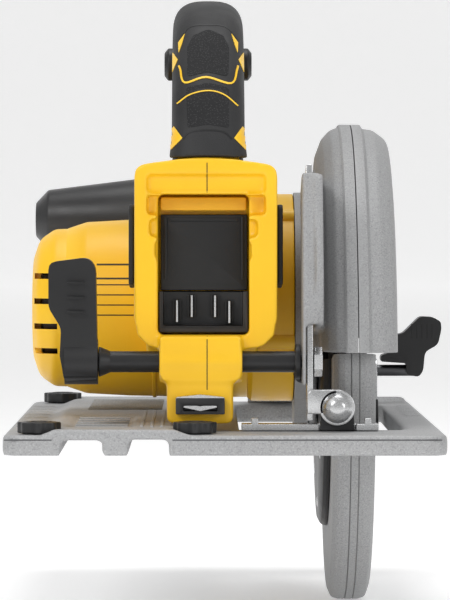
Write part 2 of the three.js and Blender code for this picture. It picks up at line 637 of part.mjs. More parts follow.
// Foot, neck, stem and core of the handle as one hollow body, before it is split.
function handleBody() {
  const f = FOOT;
  const rearView = outline([
    [f.left, f.bottom, 13], [f.right, f.bottom, 13], [f.right, 113.6, 4.5], [0, f.top, 10],
    [-15, f.top, 10], [f.left, 113.6, 4.5],
  ]);
  const foot = alongY(rearView, f.rear, f.front);
  const neck = alongX(outline([[f.front - 1, 44], [f.front - 1, 100], [-30, 86], [-28, 30], [-50, 32]]),
    f.left + 4, 14);
  const boss = cylinderX(8.2, -26, 7, CLAMP.y, CLAMP.z, 16);
  const stem = alongY(
    outline([[STEM.left, 46], [STEM.left, STEM.bottom, 3], [STEM.right, STEM.bottom, 3], [STEM.right, 46]]),
    STEM.rear, STEM.front, 1);
  const outside = join(foot, neck, boss, stem, handleBar(24, 21, 7.5));
  const footRoom = box(f.left + 2.6, f.right - 2.6, -92, f.front - 2.6, f.bottom + 4, 110);
  const neckRoom = box(f.left + 7, 11, -66, -20, 48, 82);
  const stemRoom = box(STEM.left + 3, STEM.right - 3, -114, -103, 14, 24);
  const room = join(handleBar(19, 16, 5), footRoom, neckRoom, stemRoom);
  const p = BATTERY_POCKET;
  const pocket = alongY(rectangle(p.left, p.right, p.bottom, p.top, 2), f.rear - 1, p.floor);
  const motorRoom = cylinderX(HOUSING.radius + 0.5, -90, 9.7, 0, MOTOR_Z, 32);
  const flangeRoom = cylinderX(FLANGE.radius + 0.5, 9.7, 40, 0, FLANGE.z, 32);
  const rodRoom = cylinderX(4.6, -40, 20, CLAMP.y, CLAMP.z, 16);
  return cut(outside, room, pocket, motorRoom, flangeRoom, rodRoom, triggerRoom(), lockOffRoom());
}

const leftOf = (x) => box(-60, x, -140, 90, 0, 200);
const rightOf = (x) => box(x, 60, -140, 90, 0, 200);

function trigger() {
  const { y, z } = TRIGGER_PIVOT;
  const side = outline([
    [15.8, 156, 1], [16, 161.4, 2], [12, 163, 1], [-13, 168, 1], [-17, 164, 2], [-18, 156, 2],
    [-13.5, 148.6, 3], [0, 145.4, 3], [9, 145, 2], [12, 150],
  ]);
  return cut(alongX(side, -13, 0), cylinderX(1.8, -14, 1, y, z, 10));
}

const lockOff = () => aroundX([
  [0, -25.2], [5.6, -25.2], [LOCK_OFF.radius, -23.8], [LOCK_OFF.radius, -14.5], [3.6, -14.5], [3.6, 1.5],
  [LOCK_OFF.radius, 1.5], [LOCK_OFF.radius, 11], [5.6, 12.4], [0, 12.4],
], 16);

// ---------------------------------------------------------------- battery slide
function terminalBlock() {
  const p = BATTERY_POCKET;
  const block = box(p.left + GAP, p.right - GAP, -104, p.floor - GAP, p.bottom + 0.8, 63.3);
  return cut(block, box(-24.5, 7.3, -105, -97, 49.6, 64));
}

const TERMINALS = [
  { x: -19, low: 51, high: 59.7 },
  { x: -13.1, low: 53, high: 61.7 },
  { x: -3.8, low: 53, high: 61.7 },
  { x: 1.9, low: 50.6, high: 59.4 },
];
const terminal = ({ low, high }) => box(-0.4, 0.4, -103.4, -97.3, low, high);

function controlBoard() {
  const sheet = box(-30, 15, -80, -78.2, 49, 104);
  const parts = [[-24, 54, 8, 12], [-8, 56, 10, 10], [4, 74, 8, 14], [-22, 84, 12, 10]];
  return join(sheet, ...parts.map(([x, z, w, h]) => box(x, x + w, -84, -79, z, z + h)));
}

function bumper(left, right) {
  const shape = outline([[-102, 66, 3], [-78, 64, 3], [-74, 70, 3], [-78, 98, 3], [-100, 98, 3]]);
  return alongX(shape, left, right);
}

const clipBody = () => cut(
  box(-19.4, 0, -122, STEM.rear - GAP, 15, 21.6), box(-16.4, -3, -124, -119, 16.3, 18.4));

// ---------------------------------------------------------------- front handle
const AUX = { y: 87, z: 92 };
const auxHandle = () => aroundX([
  [0, -83.3], [5, -83.1], [10, -81.2], [13.3, -78.2], [15.1, -68], [18.2, -39],
  [18, -20], [14, -12], [14, -8.4], [0, -8.4],
], 20);

// Arm from the motor housing to the front handle, saddled on the housing's barrel.
function auxBracket() {
  const arm = alongX(
    outline([[20, 92, 4], [60, 101, 8], [AUX.y, 106.5, 8], [AUX.y + 14, AUX.z, 10], [AUX.y, 77.5, 8],
      [56, 60, 8], [34, 40, 4], [20, 60]]),
    -8, 9.6);
  return cut(arm, cylinderX(HOUSING.radius + 0.5, -20, 20, 0, MOTOR_Z, 32),
    handleBar(31.8, 28.8, 11), box(-30, 30, 20, 62, 88, 130));
}

// ---------------------------------------------------------------- switch and spindle lock
const switchModule = () => join(
  box(-6.5, 6.5, -11, 11, -6, 5.4), box(-2, 2, 10, 12.5, -4, -1));

const spindleLock = () => join(
  aroundY([[0, -46], [1.6, -46], [1.6, -25.3], [0, -25.3]], 12),
  aroundY([[0, -47.5], [3.1, -47.5], [3.9, -46.5], [3.9, -43], [0, -43]], 12));

// ---------------------------------------------------------------- assembly
function shoeGroup() {
  const knobs = Object.entries(KNOB_PLACES).map(([name, [x, y]]) => {
    const made = piece(name, knob(), BLACK);
    made.position.set(x, y, 0);
    return made;
  });
  return group([0, 0, 0],
    piece('shoe_plate', shoePlate(), PLATE),
    piece('rear_strip', rearStrip(), STEEL),
    piece('rear_pivot_ear', rearPivotEar(), BLACK),
    piece('front_quadrant', frontQuadrant(), STEEL),
    piece('lock_bracket', lockBracket(), STEEL),
    piece('bevel_lever', bevelLever(), BLACK),
    piece('bevel_lock_shaft', bevelLockShaft(), DARK_STEEL),
    ...knobs);
}

function carrierGroup() {
  const rearRivet = piece('rear_pivot_rivet', pivotRivet(), STEEL);
  rearRivet.position.set(BEVEL.x, -119.3, BEVEL.z);
  const frontRivet = piece('front_pivot_rivet', pivotRivet(), STEEL);
  frontRivet.position.set(BEVEL.x, 133.3, BEVEL.z);
  frontRivet.rotation.z = Math.PI;
  const bolt = piece('tilt_clamp_bolt', tiltClampBolt(), STEEL);
  bolt.position.set(tiltBoltPlace().x, 0, tiltBoltPlace().z);
  const pin = piece('depth_pivot_pin', depthPivotPin(), STEEL);
  pin.position.set(0, DEPTH.y, DEPTH.z);
  return group([0, 0, 0],
    piece('depth_bracket', depthBracket(), STEEL),
    piece('rear_pivot_plate', rearPivotPlate(), STEEL),
    piece('front_carrier', frontCarrier(), STEEL),
    rearRivet, frontRivet, bolt, pin);
}

function clampGroup() {
  const nut = piece('clamp_nut', clampNut(), STEEL);
  const rod = piece('depth_rod', depthRod(), DARK_STEEL);
  return group([0, 0, 0],
    piece('depth_lever', depthLever(), BLACK),
    group([0, CLAMP.y, CLAMP.z], nut, rod));
}

function guardGroup() {
  return group([0, 0, 0],
    piece('upper_guard_inner', upperGuardInner(), CASTING),
    piece('upper_guard_outer', upperGuardOuter(), CASTING),
    group([0, ARBOR.y, ARBOR.z],
      piece('lower_guard', lowerGuard(), CASTING),
      piece('guard_hub_plate', guardHubPlate(), BLACK),
      piece('guard_lever', guardLever(), BLACK),
      piece('guard_spring', guardSpring(), DARK_STEEL)));
}

function bladeGroup() {
  return group([0, ARBOR.y, ARBOR.z],
    piece('spindle', spindle(), DARK_STEEL),
    piece('drive_gear', gear(GEAR_TEETH, 3.5, 6.3, 90), DARK_STEEL),
    piece('inner_flange', innerFlange(), DARK_STEEL),
    piece('outer_flange', outerFlange(), DARK_STEEL),
    piece('blade', sawBlade(), STEEL),
    piece('blade_bolt', bladeBolt(), DARK_STEEL),
    piece('spindle_bearing', bearing(7.8, 13, 37.1, 44), STEEL));
}

function motorGroup() {
  return group([0, 0, MOTOR_Z],
    piece('rotor_shaft', rotorShaft(), STEEL),
    piece('rotor_core', aroundX(ringProfile(5.1, 16.2, -50, -6), 16), DARK_STEEL),
    piece('fan', fan(), BLACK),
    piece('stator', stator(), COPPER),
    piece('motor_end_cap', motorEndCap(), YELLOW),
    piece('motor_rear_bearing', bearing(4.3, 9, -70.6, -63.9), STEEL),
    piece('motor_front_bearing', bearing(4.3, 11, 21.6, 28.3), STEEL));
}

function handleGroup() {
  const body = handleBody();
  const lock = piece('lock_off', lockOff(), BLACK);
  lock.position.set(0, LOCK_OFF.y, LOCK_OFF.z);
  const contacts = TERMINALS.map((place, i) => {
    const made = piece(`terminal_${i + 1}`, terminal(place), STEEL);
    made.position.x = place.x;
    return made;
  });
  const unit = piece('switch_module', switchModule(), BLACK);
  unit.position.set(HANDLE_X, -35.5, 167);
  unit.rotation.x = 0.2;
  return group([0, 0, 0],
    piece('handle_left', common(body, leftOf(SEAM_X - GAP / 2)), YELLOW),
    piece('handle_right', common(body, rightOf(SEAM_X + GAP / 2)), YELLOW),
    piece('grip', grip(), RUBBER),
    piece('trigger', trigger(), BLACK),
    piece('bumper_left', bumper(-38.4, FOOT.left - GAP), RUBBER),
    piece('bumper_right', bumper(FOOT.right + GAP, 23.4), RUBBER),
    piece('terminal_block', terminalBlock(), BLACK),
    piece('control_board', controlBoard(), BOARD),
    piece('clip_body', clipBody(), BLACK),
    lock, unit, ...contacts);
}

function bodyGroup() {
  const handle = piece('aux_handle', auxHandle(), RUBBER);
  handle.position.set(0, AUX.y, AUX.z);
  const lock = piece('spindle_lock', spindleLock(), BLACK);
  lock.position.set(32.7, 0, ARBOR.z);
  return group([0, 0, 0],
    piece('gear_case', gearCase(), CASTING),
    piece('motor_housing', motorHousing(), YELLOW),
    piece('aux_bracket', auxBracket(), BLACK),
    handle, lock);
}

export default group([0, 0, 0],
  shoeGroup(), carrierGroup(), clampGroup(), guardGroup(), bladeGroup(), motorGroup(),
  handleGroup(), bodyGroup());
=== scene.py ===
import json
import math

import bmesh
import bpy
from mathutils import Matrix, Vector
from mathutils.bvhtree import BVHTree

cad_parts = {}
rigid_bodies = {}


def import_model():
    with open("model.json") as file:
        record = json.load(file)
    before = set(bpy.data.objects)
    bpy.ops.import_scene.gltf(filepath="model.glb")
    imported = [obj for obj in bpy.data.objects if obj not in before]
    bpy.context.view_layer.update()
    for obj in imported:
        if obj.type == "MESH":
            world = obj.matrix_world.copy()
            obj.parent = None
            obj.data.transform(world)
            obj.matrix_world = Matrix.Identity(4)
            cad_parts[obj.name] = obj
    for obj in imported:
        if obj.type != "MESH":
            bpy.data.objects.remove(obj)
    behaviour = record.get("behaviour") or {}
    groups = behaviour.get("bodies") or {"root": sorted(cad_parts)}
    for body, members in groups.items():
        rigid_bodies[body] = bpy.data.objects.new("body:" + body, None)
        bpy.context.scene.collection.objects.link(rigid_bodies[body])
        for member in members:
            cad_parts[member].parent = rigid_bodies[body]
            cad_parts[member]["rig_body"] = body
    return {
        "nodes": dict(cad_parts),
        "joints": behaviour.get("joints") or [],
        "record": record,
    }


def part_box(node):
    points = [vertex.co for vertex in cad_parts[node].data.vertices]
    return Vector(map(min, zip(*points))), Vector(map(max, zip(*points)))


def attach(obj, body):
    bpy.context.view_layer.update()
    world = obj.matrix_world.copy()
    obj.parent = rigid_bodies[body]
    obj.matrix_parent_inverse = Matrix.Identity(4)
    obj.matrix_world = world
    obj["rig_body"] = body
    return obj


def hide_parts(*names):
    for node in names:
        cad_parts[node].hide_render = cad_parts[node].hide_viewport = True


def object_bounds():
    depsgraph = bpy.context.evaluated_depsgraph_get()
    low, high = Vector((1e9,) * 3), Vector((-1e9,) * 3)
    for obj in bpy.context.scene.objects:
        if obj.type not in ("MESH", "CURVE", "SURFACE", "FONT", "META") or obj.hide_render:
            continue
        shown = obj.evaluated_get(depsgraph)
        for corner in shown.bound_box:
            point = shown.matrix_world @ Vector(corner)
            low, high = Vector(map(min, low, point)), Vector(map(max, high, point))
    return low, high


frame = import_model()
cad_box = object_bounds()

MM = 0.001
RECORD = frame["record"]
SLOT_OF = {part["node"]: part["material_slot"] for part in RECORD["subparts"]}
JOINT_AT = {j["name"]: [c / MM for c in j["pos_m"]] for j in frame["joints"] if "pos_m" in j}
ARBOR = JOINT_AT["blade_spin"][1:]
MOTOR = JOINT_AT["rotor_spin"][1:]
TILT_X, _, TILT_Z = JOINT_AT["tilt"]
CLAMP = JOINT_AT["depth_lock_turn"][1:]
LOCK_SHAFT = JOINT_AT["tilt_lock_turn"][1:]


def box_mm(node):
    low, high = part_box(node)
    return low / MM, high / MM


def body_of(node):
    return frame["nodes"][node]["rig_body"]


# ------------------------------------------------------------ camera, floor, light
def make_camera():
    data = bpy.data.cameras.new("camera")
    data.lens = 235.4
    data.sensor_width = 36
    data.shift_x = 0.0383
    data.shift_y = -0.1317
    data.clip_start = 0.05
    data.clip_end = 20
    camera = bpy.data.objects.new("camera", data)
    camera.location = (-0.009, -1.671, 0.0914)
    camera.rotation_euler = (math.pi / 2, 0, 0)
    bpy.context.scene.collection.objects.link(camera)
    bpy.context.scene.camera = camera


def soft_light(name, place, target, size, power, tint=(1, 1, 1)):
    data = bpy.data.lights.new(name, "AREA")
    data.shape = "DISK"
    data.size = size
    data.energy = power
    data.color = tint
    lamp = bpy.data.objects.new(name, data)
    lamp.location = place
    lamp.rotation_mode = "QUATERNION"
    lamp.rotation_quaternion = (Vector(target) - Vector(place)).to_track_quat("-Z", "Y")
    bpy.context.scene.collection.objects.link(lamp)


def make_studio():
    world = bpy.data.worlds.new("studio")
    world.use_nodes = True
    background = world.node_tree.nodes["Background"]
    background.inputs["Color"].default_value = (1, 1, 1, 1)
    background.inputs["Strength"].default_value = 0.5
    bpy.context.scene.world = world
    bpy.context.scene.view_settings.view_transform = "Standard"
    soft_light("key", (-0.9, -1.3, 1.1), (0, 0, 0.05), 0.7, 11)
    soft_light("fill", (1.1, -1.1, 0.5), (0, 0, 0.05), 0.6, 3.5)
    soft_light("top", (0.1, 0.1, 1.4), (0, 0, 0.05), 0.9, 8)


def make_floor():
    """A pale floor that curves up into a backdrop far behind the object."""
    low = cad_box[0].z - 0.0005
    profile = [(-12, low), (8, low)]
    for i in range(1, 17):
        angle = math.pi / 2 * i / 16
        profile.append((8 + 2 * math.sin(angle), low + 2 * (1 - math.cos(angle))))
    profile.append((10, 8))
    bm = bmesh.new()
    rows = [[bm.verts.new((x, y, z)) for x in (-12, 12)] for y, z in profile]
    for (a, b), (c, d) in zip(rows, rows[1:]):
        bm.faces.new((a, b, d, c))
    floor = object_from(bm, "floor", FLOOR_PAINT, 1)


# ------------------------------------------------------------ materials
class Shader:
    """A principled material and short names for the nodes that feed it."""

    def __init__(self, name, **values):
        self.material = bpy.data.materials.new(name)
        self.material.use_nodes = True
        self.tree = self.material.node_tree
        self.principled = self.tree.nodes["Principled BSDF"]
        for socket, value in values.items():
            self.principled.inputs[socket.replace("_", " ")].default_value = value
        self.coordinates = self.tree.nodes.new("ShaderNodeTexCoord").outputs["Object"]

    def node(self, kind, links=(), **settings):
        made = self.tree.nodes.new("ShaderNode" + kind)
        for name, value in settings.items():
            setattr(made, name, value)
        for socket, value in dict(links).items():
            if isinstance(value, bpy.types.NodeSocket):
                self.tree.links.new(value, made.inputs[socket])
            else:
                made.inputs[socket].default_value = value
        return made

    def noise(self, scale, detail=3, stretch=None):
        vector = self.coordinates
        if stretch:
            vector = self.node("Mapping", {"Vector": vector, "Scale": stretch}).outputs["Vector"]
        links = {"Vector": vector, "Scale": scale, "Detail": detail}
        return self.node("TexNoise", links).outputs["Fac"]

    def ramp(self, value, low, high, to_low, to_high):
        links = {"Value": value, "From Min": low, "From Max": high, "To Min": to_low, "To Max": to_high}
        return self.node("MapRange", links).outputs["Result"]

    def mix(self, factor, first, second):
        made = self.node("Mix", data_type="RGBA")
        self.tree.links.new(factor, made.inputs[0])
        for socket, value in ((made.inputs[6], first), (made.inputs[7], second)):
            if isinstance(value, bpy.types.NodeSocket):
                self.tree.links.new(value, socket)
            else:
                socket.default_value = (*value, 1)
        return made.outputs[2]

    def feed(self, socket, value):
        self.tree.links.new(value, self.principled.inputs[socket])

    def bump(self, height, distance, strength=1.0):
        links = {"Height": height, "Distance": distance, "Strength": strength}
        previous = self.principled.inputs["Normal"].links
        if previous:
            links["Normal"] = previous[0].from_socket
        self.feed("Normal", self.node("Bump", links).outputs["Normal"])


def moulded(name, color, dark, roughness, grain=2600, depth=0.00004, worn=None):
    """Moulded plastic or rubber: soft colour drift, fine spark texture, uneven gloss."""
    made = Shader(name, Metallic=0.0, Specular_IOR_Level=0.45)
    tone = made.mix(made.ramp(made.noise(35, 4), 0.3, 0.7, 0, 1), color, dark)
    dust = made.ramp(made.noise(grain * 0.6, 2), 0.62, 0.75, 0, 0.12)
    tone = made.mix(dust, tone, [min(1, c * 1.25 + 0.01) for c in color])
    if worn:
        edge = made.node("NewGeometry").outputs["Pointiness"]
        tone = made.mix(made.ramp(edge, 0.53, 0.62, 0, 0.6), tone, worn)
    made.feed("Base Color", tone)
    made.feed("Roughness", made.ramp(made.noise(90, 3), 0.3, 0.7, roughness - 0.05, roughness + 0.06))
    made.bump(made.noise(grain, 2), depth)
    return made.material


def cast_metal(name, color, roughness, speckle, depth):
    """Blasted casting: light and dark grains, a coarse roll and brighter edges."""
    made = Shader(name, Metallic=0.25)
    light = [min(1, c * 1.35) for c in color]
    dark = [c * 0.66 for c in color]
    tone = made.mix(made.ramp(made.noise(28, 4), 0.3, 0.7, 0, 0.35), color, [c * 0.86 for c in color])
    tone = made.mix(made.ramp(made.noise(speckle, 5), 0.52, 0.66, 0, 0.75), tone, light)
    tone = made.mix(made.ramp(made.noise(speckle * 0.8, 5), 0.47, 0.36, 0, 0.6), tone, dark)
    edge = made.node("NewGeometry").outputs["Pointiness"]
    tone = made.mix(made.ramp(edge, 0.54, 0.62, 0, 0.5), tone, [min(1, c * 1.3) for c in color])
    made.feed("Base Color", tone)
    made.feed("Roughness", made.ramp(made.noise(speckle, 3), 0.3, 0.7, roughness - 0.08, roughness + 0.1))
    made.bump(made.noise(speckle, 4), depth)
    made.bump(made.noise(160, 3), depth * 1.6, 0.5)
    return made.material


def drawn_metal(name, color, roughness, stretch, depth=0.00002):
    """Rolled, turned or plated steel with fine lines along one direction."""
    made = Shader(name, Metallic=1.0)
    lines = made.noise(900, 4, stretch)
    stain = made.ramp(made.noise(60, 4), 0.45, 0.75, 0, 0.35)
    tone = made.mix(stain, color, [c * 0.7 for c in color])
    tone = made.mix(made.ramp(lines, 0.35, 0.65, 0, 0.25), tone, [min(1, c * 1.2) for c in color])
    made.feed("Base Color", tone)
    made.feed("Roughness", made.ramp(lines, 0.3, 0.7, roughness - 0.06, roughness + 0.08))
    made.bump(lines, depth)
    return made.material


def ground_blade():
    """Steel ground in circles round the arbor."""
    made = Shader("blade_ground", Metallic=1.0)
    shift = {"Vector": made.coordinates, "Location": (0, -ARBOR[0] * MM, -ARBOR[1] * MM), "Scale": (0, 1, 1)}
    centred = made.node("Mapping", shift).outputs["Vector"]
    radius = made.node("VectorMath", {"Vector": centred}, operation="LENGTH").outputs["Value"]
    rings = made.node("TexNoise", {"W": radius, "Scale": 2600, "Detail": 3}, noise_dimensions="1D")
    lines = rings.outputs["Fac"]
    tone = made.mix(made.ramp(lines, 0.3, 0.7, 0, 1), (0.5, 0.51, 0.52), (0.68, 0.69, 0.7))
    stain = made.ramp(made.noise(45, 4), 0.5, 0.8, 0, 0.4)
    made.feed("Base Color", made.mix(stain, tone, (0.36, 0.36, 0.36)))
    made.feed("Roughness", made.ramp(lines, 0.3, 0.7, 0.24, 0.42))
    made.bump(lines, 0.00002)
    return made.material


def stippled_rubber():
    """Grip rubber with a field of small raised dots."""
    made = Shader("rubber_stippled", Metallic=0.0, Specular_IOR_Level=0.35)
    cell = made.node("TexVoronoi", {"Vector": made.coordinates, "Scale": 1250}).outputs["Distance"]
    dots = made.ramp(cell, 0.1, 0.45, 1, 0)
    tone = made.mix(dots, (0.014, 0.014, 0.015), (0.028, 0.028, 0.029))
    drift = made.ramp(made.noise(40, 3), 0.4, 0.7, 0, 0.3)
    made.feed("Base Color", made.mix(drift, tone, (0.03, 0.03, 0.032)))
    made.feed("Roughness", made.ramp(dots, 0, 1, 0.85, 0.6))
    made.bump(dots, 0.00012)
    return made.material


YELLOW = moulded("yellow_moulded", (0.95, 0.56, 0.012), (0.9, 0.51, 0.01), 0.4, worn=(1.0, 0.67, 0.07))
# Painted shade: a darker copy of the housing yellow for the shadowed top of the battery pocket; the moulding
# there is the same yellow.
YELLOW_PAINTED_SHADE = moulded("yellow_painted_shade", (0.8, 0.42, 0.009), (0.72, 0.36, 0.007), 0.5)
BLACK = moulded(
    "black_moulded", (0.0125, 0.0125, 0.013), (0.008, 0.008, 0.009), 0.42, worn=(0.05, 0.05, 0.052))
LINER = moulded("black_liner", (0.007, 0.0075, 0.008), (0.004, 0.004, 0.0045), 0.5)
RUBBER = moulded(
    "rubber_soft", (0.02, 0.02, 0.021), (0.013, 0.013, 0.014), 0.62, 1700, 0.00008, (0.045, 0.045, 0.047))
SATIN = moulded(
    "front_handle_satin", (0.028, 0.028, 0.029), (0.018, 0.018, 0.019), 0.36,
    1500, 0.00006, (0.055, 0.055, 0.057))
STIPPLE = stippled_rubber()
GUARD = cast_metal("guard_casting", (0.34, 0.342, 0.345), 0.62, 1900, 0.00005)
SHOE = cast_metal("shoe_casting", (0.38, 0.382, 0.386), 0.56, 1600, 0.00007)
STEEL = drawn_metal("steel_plated", (0.6, 0.605, 0.61), 0.28, (1, 0.15, 6))
DARK = drawn_metal("steel_dark", (0.13, 0.132, 0.137), 0.34, (0.2, 5, 5))
BLADE = ground_blade()
COPPER = drawn_metal("copper_wire", (0.55, 0.24, 0.1), 0.35, (6, 1, 1), 0.0001)
BOARD = moulded("board_green", (0.02, 0.12, 0.05), (0.015, 0.09, 0.04), 0.3)
INK = moulded("label_ink", (0.05, 0.035, 0.008), (0.035, 0.025, 0.006), 0.5)
FLOOR_PAINT = moulded("floor_paint", (0.93, 0.93, 0.93), (0.91, 0.91, 0.91), 0.8, 60, 0.00001)
FLOOR_PAINT.node_tree.nodes["Principled BSDF"].inputs["Emission Color"].default_value = (1, 1, 1, 1)
FLOOR_PAINT.node_tree.nodes["Principled BSDF"].inputs["Emission Strength"].default_value = 0.3

MATERIAL_OF = {
    "yellow_housing": YELLOW, "black_plastic": BLACK, "grip_rubber": RUBBER, "cast_guard": GUARD,
    "shoe_metal": SHOE, "bright_steel": STEEL, "dark_steel": DARK, "blade_steel": BLADE,
    "copper_winding": COPPER, "board": BOARD,
}


# ------------------------------------------------------------ meshes
def object_from(bm, name, material, scale=MM, sharp=40):
    """Turns a bmesh into a scene object, smooth except at edges sharper than `sharp` degrees."""
    bmesh.ops.recalc_face_normals(bm, faces=bm.faces)
    bmesh.ops.scale(bm, vec=(scale,) * 3, verts=bm.verts)
    mesh = bpy.data.meshes.new(name)
    bm.to_mesh(mesh)
    bm.free()
    return object_of(mesh, name, material, sharp)


def object_of(mesh, name, material, sharp=40):
    mesh.materials.clear()
    mesh.materials.append(material)
    mesh.polygons.foreach_set("use_smooth", [True] * len(mesh.polygons))
    mesh.set_sharp_from_angle(angle=math.radians(sharp))
    made = bpy.data.objects.new(name, mesh)
    bpy.context.scene.collection.objects.link(made)
    return made


def baked(obj):
    """The object's mesh with its modifiers applied."""
    graph = bpy.context.evaluated_depsgraph_get()
    mesh = bpy.data.meshes.new_from_object(obj.evaluated_get(graph))
    obj.modifiers.clear()
    old = obj.data
    obj.data = mesh
    bpy.data.meshes.remove(old)
    return obj


def stand_for(obj, *nodes):
    """The piece takes the place of these CAD nodes and moves with their body."""
    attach(obj, body_of(nodes[0]))
    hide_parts(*nodes)
    return obj


def detail(obj, node, slot=None):
    """The piece is small trim that moves with a CAD node's body."""
    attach(obj, body_of(node))
    return obj


def cad_bmesh(node):
    bm = bmesh.new()
    bm.from_mesh(frame["nodes"][node].data)
    bmesh.ops.scale(bm, vec=(1 / MM,) * 3, verts=bm.verts)
    bmesh.ops.remove_doubles(bm, verts=bm.verts, dist=0.002)
    return bm


def rounded(points, steps=5):
    """A closed outline whose corners may name a rounding radius as a third number."""
    out = []
    for i, point in enumerate(points):
        here = Vector(point[:2])
        radius = point[2] if len(point) > 2 else 0
        if not radius:
            out.append(here)
            continue
        before = Vector(points[i - 1][:2]) - here
        after = Vector(points[(i + 1) % len(points)][:2]) - here
        half = before.angle(after) / 2
        setback = min(radius / math.tan(half), 0.45 * before.length, 0.45 * after.length)
        start = here + before.normalized() * setback
        end = here + after.normalized() * setback
        for k in range(steps + 1):
            t = k / steps
            out.append(start * (1 - t) ** 2 + here * 2 * t * (1 - t) + end * t ** 2)
    return out


def lathe(profile, axis, centre, steps=96, arc=(0, 360)):
    """Turns (radius, along) points about an axis. A part turn gets flat ends."""
    whole = abs(arc[1] - arc[0]) >= 360
    bm = bmesh.new()
    rings = []
    for i in range(steps if whole else steps + 1):
        angle = math.radians(arc[0] + (arc[1] - arc[0]) * i / steps)
        c, s = math.cos(angle), math.sin(angle)
        place = {
            "X": lambda r, a: (a, centre[0] + r * c, centre[1] + r * s),
            "Y": lambda r, a: (centre[0] + r * c, a, centre[1] + r * s),
            "Z": lambda r, a: (centre[0] + r * c, centre[1] + r * s, a),
        }[axis]
        rings.append([bm.verts.new(place(p[0], p[1])) for p in profile])
    pairs = list(zip(rings, rings[1:])) + ([(rings[-1], rings[0])] if whole else [])
    count = len(profile)
    for first, second in pairs:
        for k in range(count):
            n = (k + 1) % count
            bm.faces.new((first[k], first[n], second[n], second[k]))
    if not whole:
        bm.faces.new(rings[0])
        bm.faces.new(rings[-1])
    bmesh.ops.remove_doubles(bm, verts=bm.verts, dist=0.0005)
    bmesh.ops.dissolve_degenerate(bm, edges=bm.edges, dist=0.0005)
    return bm


def extrude(outline, place, low, high):
    """A prism between low and high; place(a, b, along) gives each corner."""
    bm = bmesh.new()
    ends = [[bm.verts.new(place(p[0], p[1], t)) for p in outline] for t in (low, high)]
    for end in ends:
        bm.faces.new(end)
    for k in range(len(outline)):
        n = (k + 1) % len(outline)
        bm.faces.new((ends[0][k], ends[0][n], ends[1][n], ends[1][k]))
    bmesh.ops.recalc_face_normals(bm, faces=bm.faces)
    return bm


def on_x(a, b, along):
    return (along, a, b)


def on_y(a, b, along):
    return (a, along, b)


def on_z(a, b, along):
    return (a, b, along)


def block(x0, x1, y0, y1, z0, z1):
    return extrude([(y0, z0), (y1, z0), (y1, z1), (y0, z1)], on_x, x0, x1)


def joined(*parts):
    """One bmesh that holds all the given ones."""
    whole = bmesh.new()
    for part in parts:
        mesh = bpy.data.meshes.new("part")
        part.to_mesh(mesh)
        part.free()
        whole.from_mesh(mesh)
        bpy.data.meshes.remove(mesh)
    return whole


def bevelled(bm, width, segments=3, angle=30):
    bmesh.ops.dissolve_limit(
        bm, angle_limit=math.radians(0.5), verts=bm.verts, edges=bm.edges)
    sharp = [
        e for e in bm.edges
        if len(e.link_faces) == 2 and e.calc_face_angle(0) > math.radians(angle)
    ]
    bmesh.ops.bevel(
        bm, geom=sharp, offset=width, offset_type="OFFSET", segments=segments,
        profile=0.5, affect="EDGES", clamp_overlap=True)
    return bm


def cut_by(obj, *cutters):
    """Takes closed cutters away from an object."""
    tools = []
    for i, cutter in enumerate(cutters):
        tool = object_from(cutter, f"cutter_{i}", BLACK)
        change = obj.modifiers.new("cut", "BOOLEAN")
        change.operation = "DIFFERENCE"
        change.solver = "EXACT"
        change.object = tool
        tools.append(tool)
    baked(obj)
    for tool in tools:
        bpy.data.objects.remove(tool)
    return obj


def round_out(mesh, centre, segments, inner, outer, x_range):
    """Brings the flats of a faceted turned shape out to its true circle about an X axis."""
    step = 2 * math.pi / segments
    for vertex in mesh.vertices:
        x, y, z = (c / MM for c in vertex.co)
        y, z = y - centre[0], z - centre[1]
        radius = math.hypot(y, z)
        if inner < radius < outer and x_range[0] <= x <= x_range[1]:
            offset = math.atan2(z, y) % step - step / 2
            factor = math.cos(offset) / math.cos(step / 2)
            vertex.co.y = (centre[0] + y * factor) * MM
            vertex.co.z = (centre[1] + z * factor) * MM


def skin(nodes, voxel, passes, extra=(), cuts=(), circle=None):
    """A fine moulded or cast surface over CAD nodes: softened edges, joined-on details."""
    nodes = [nodes] if isinstance(nodes, str) else nodes
    shape = joined(*[cad_bmesh(node) for node in nodes], *extra)
    made = object_from(shape, f"{nodes[0]}_skin", MATERIAL_OF[SLOT_OF[nodes[0]]])
    if cuts:
        cut_by(made, *cuts)
    remesh = made.modifiers.new("fine", "REMESH")
    remesh.mode = "VOXEL"
    remesh.voxel_size = voxel * MM
    relax = made.modifiers.new("soften", "SMOOTH")
    relax.factor = 0.5
    relax.iterations = passes
    baked(made)
    if circle:
        round_out(made.data, *circle)
    made.data.polygons.foreach_set("use_smooth", [True] * len(made.data.polygons))
    return stand_for(made, *nodes)


def crisp(node, width, segments=3, extra=(), material=None):
    """A machined or pressed part: the CAD shape with its edges broken."""
    bm = bevelled(joined(cad_bmesh(node), *extra), width, segments)
    made = object_from(bm, f"{node}_part", material or MATERIAL_OF[SLOT_OF[node]], sharp=50)
    made.modifiers.new("even", "WEIGHTED_NORMAL").keep_sharp = True
    return stand_for(made, node)


def turned(node, profile, axis, centre, steps=96, material=None):
    bm = lathe(rounded(profile), axis, centre, steps)
    made = object_from(bm, f"{node}_turned", material or MATERIAL_OF[SLOT_OF[node]], sharp=50)
    return stand_for(made, node)


def tree_of(obj):
    points = [v.co / MM for v in obj.data.vertices]
    return BVHTree.FromPolygons(points, [list(p.vertices) for p in obj.data.polygons])


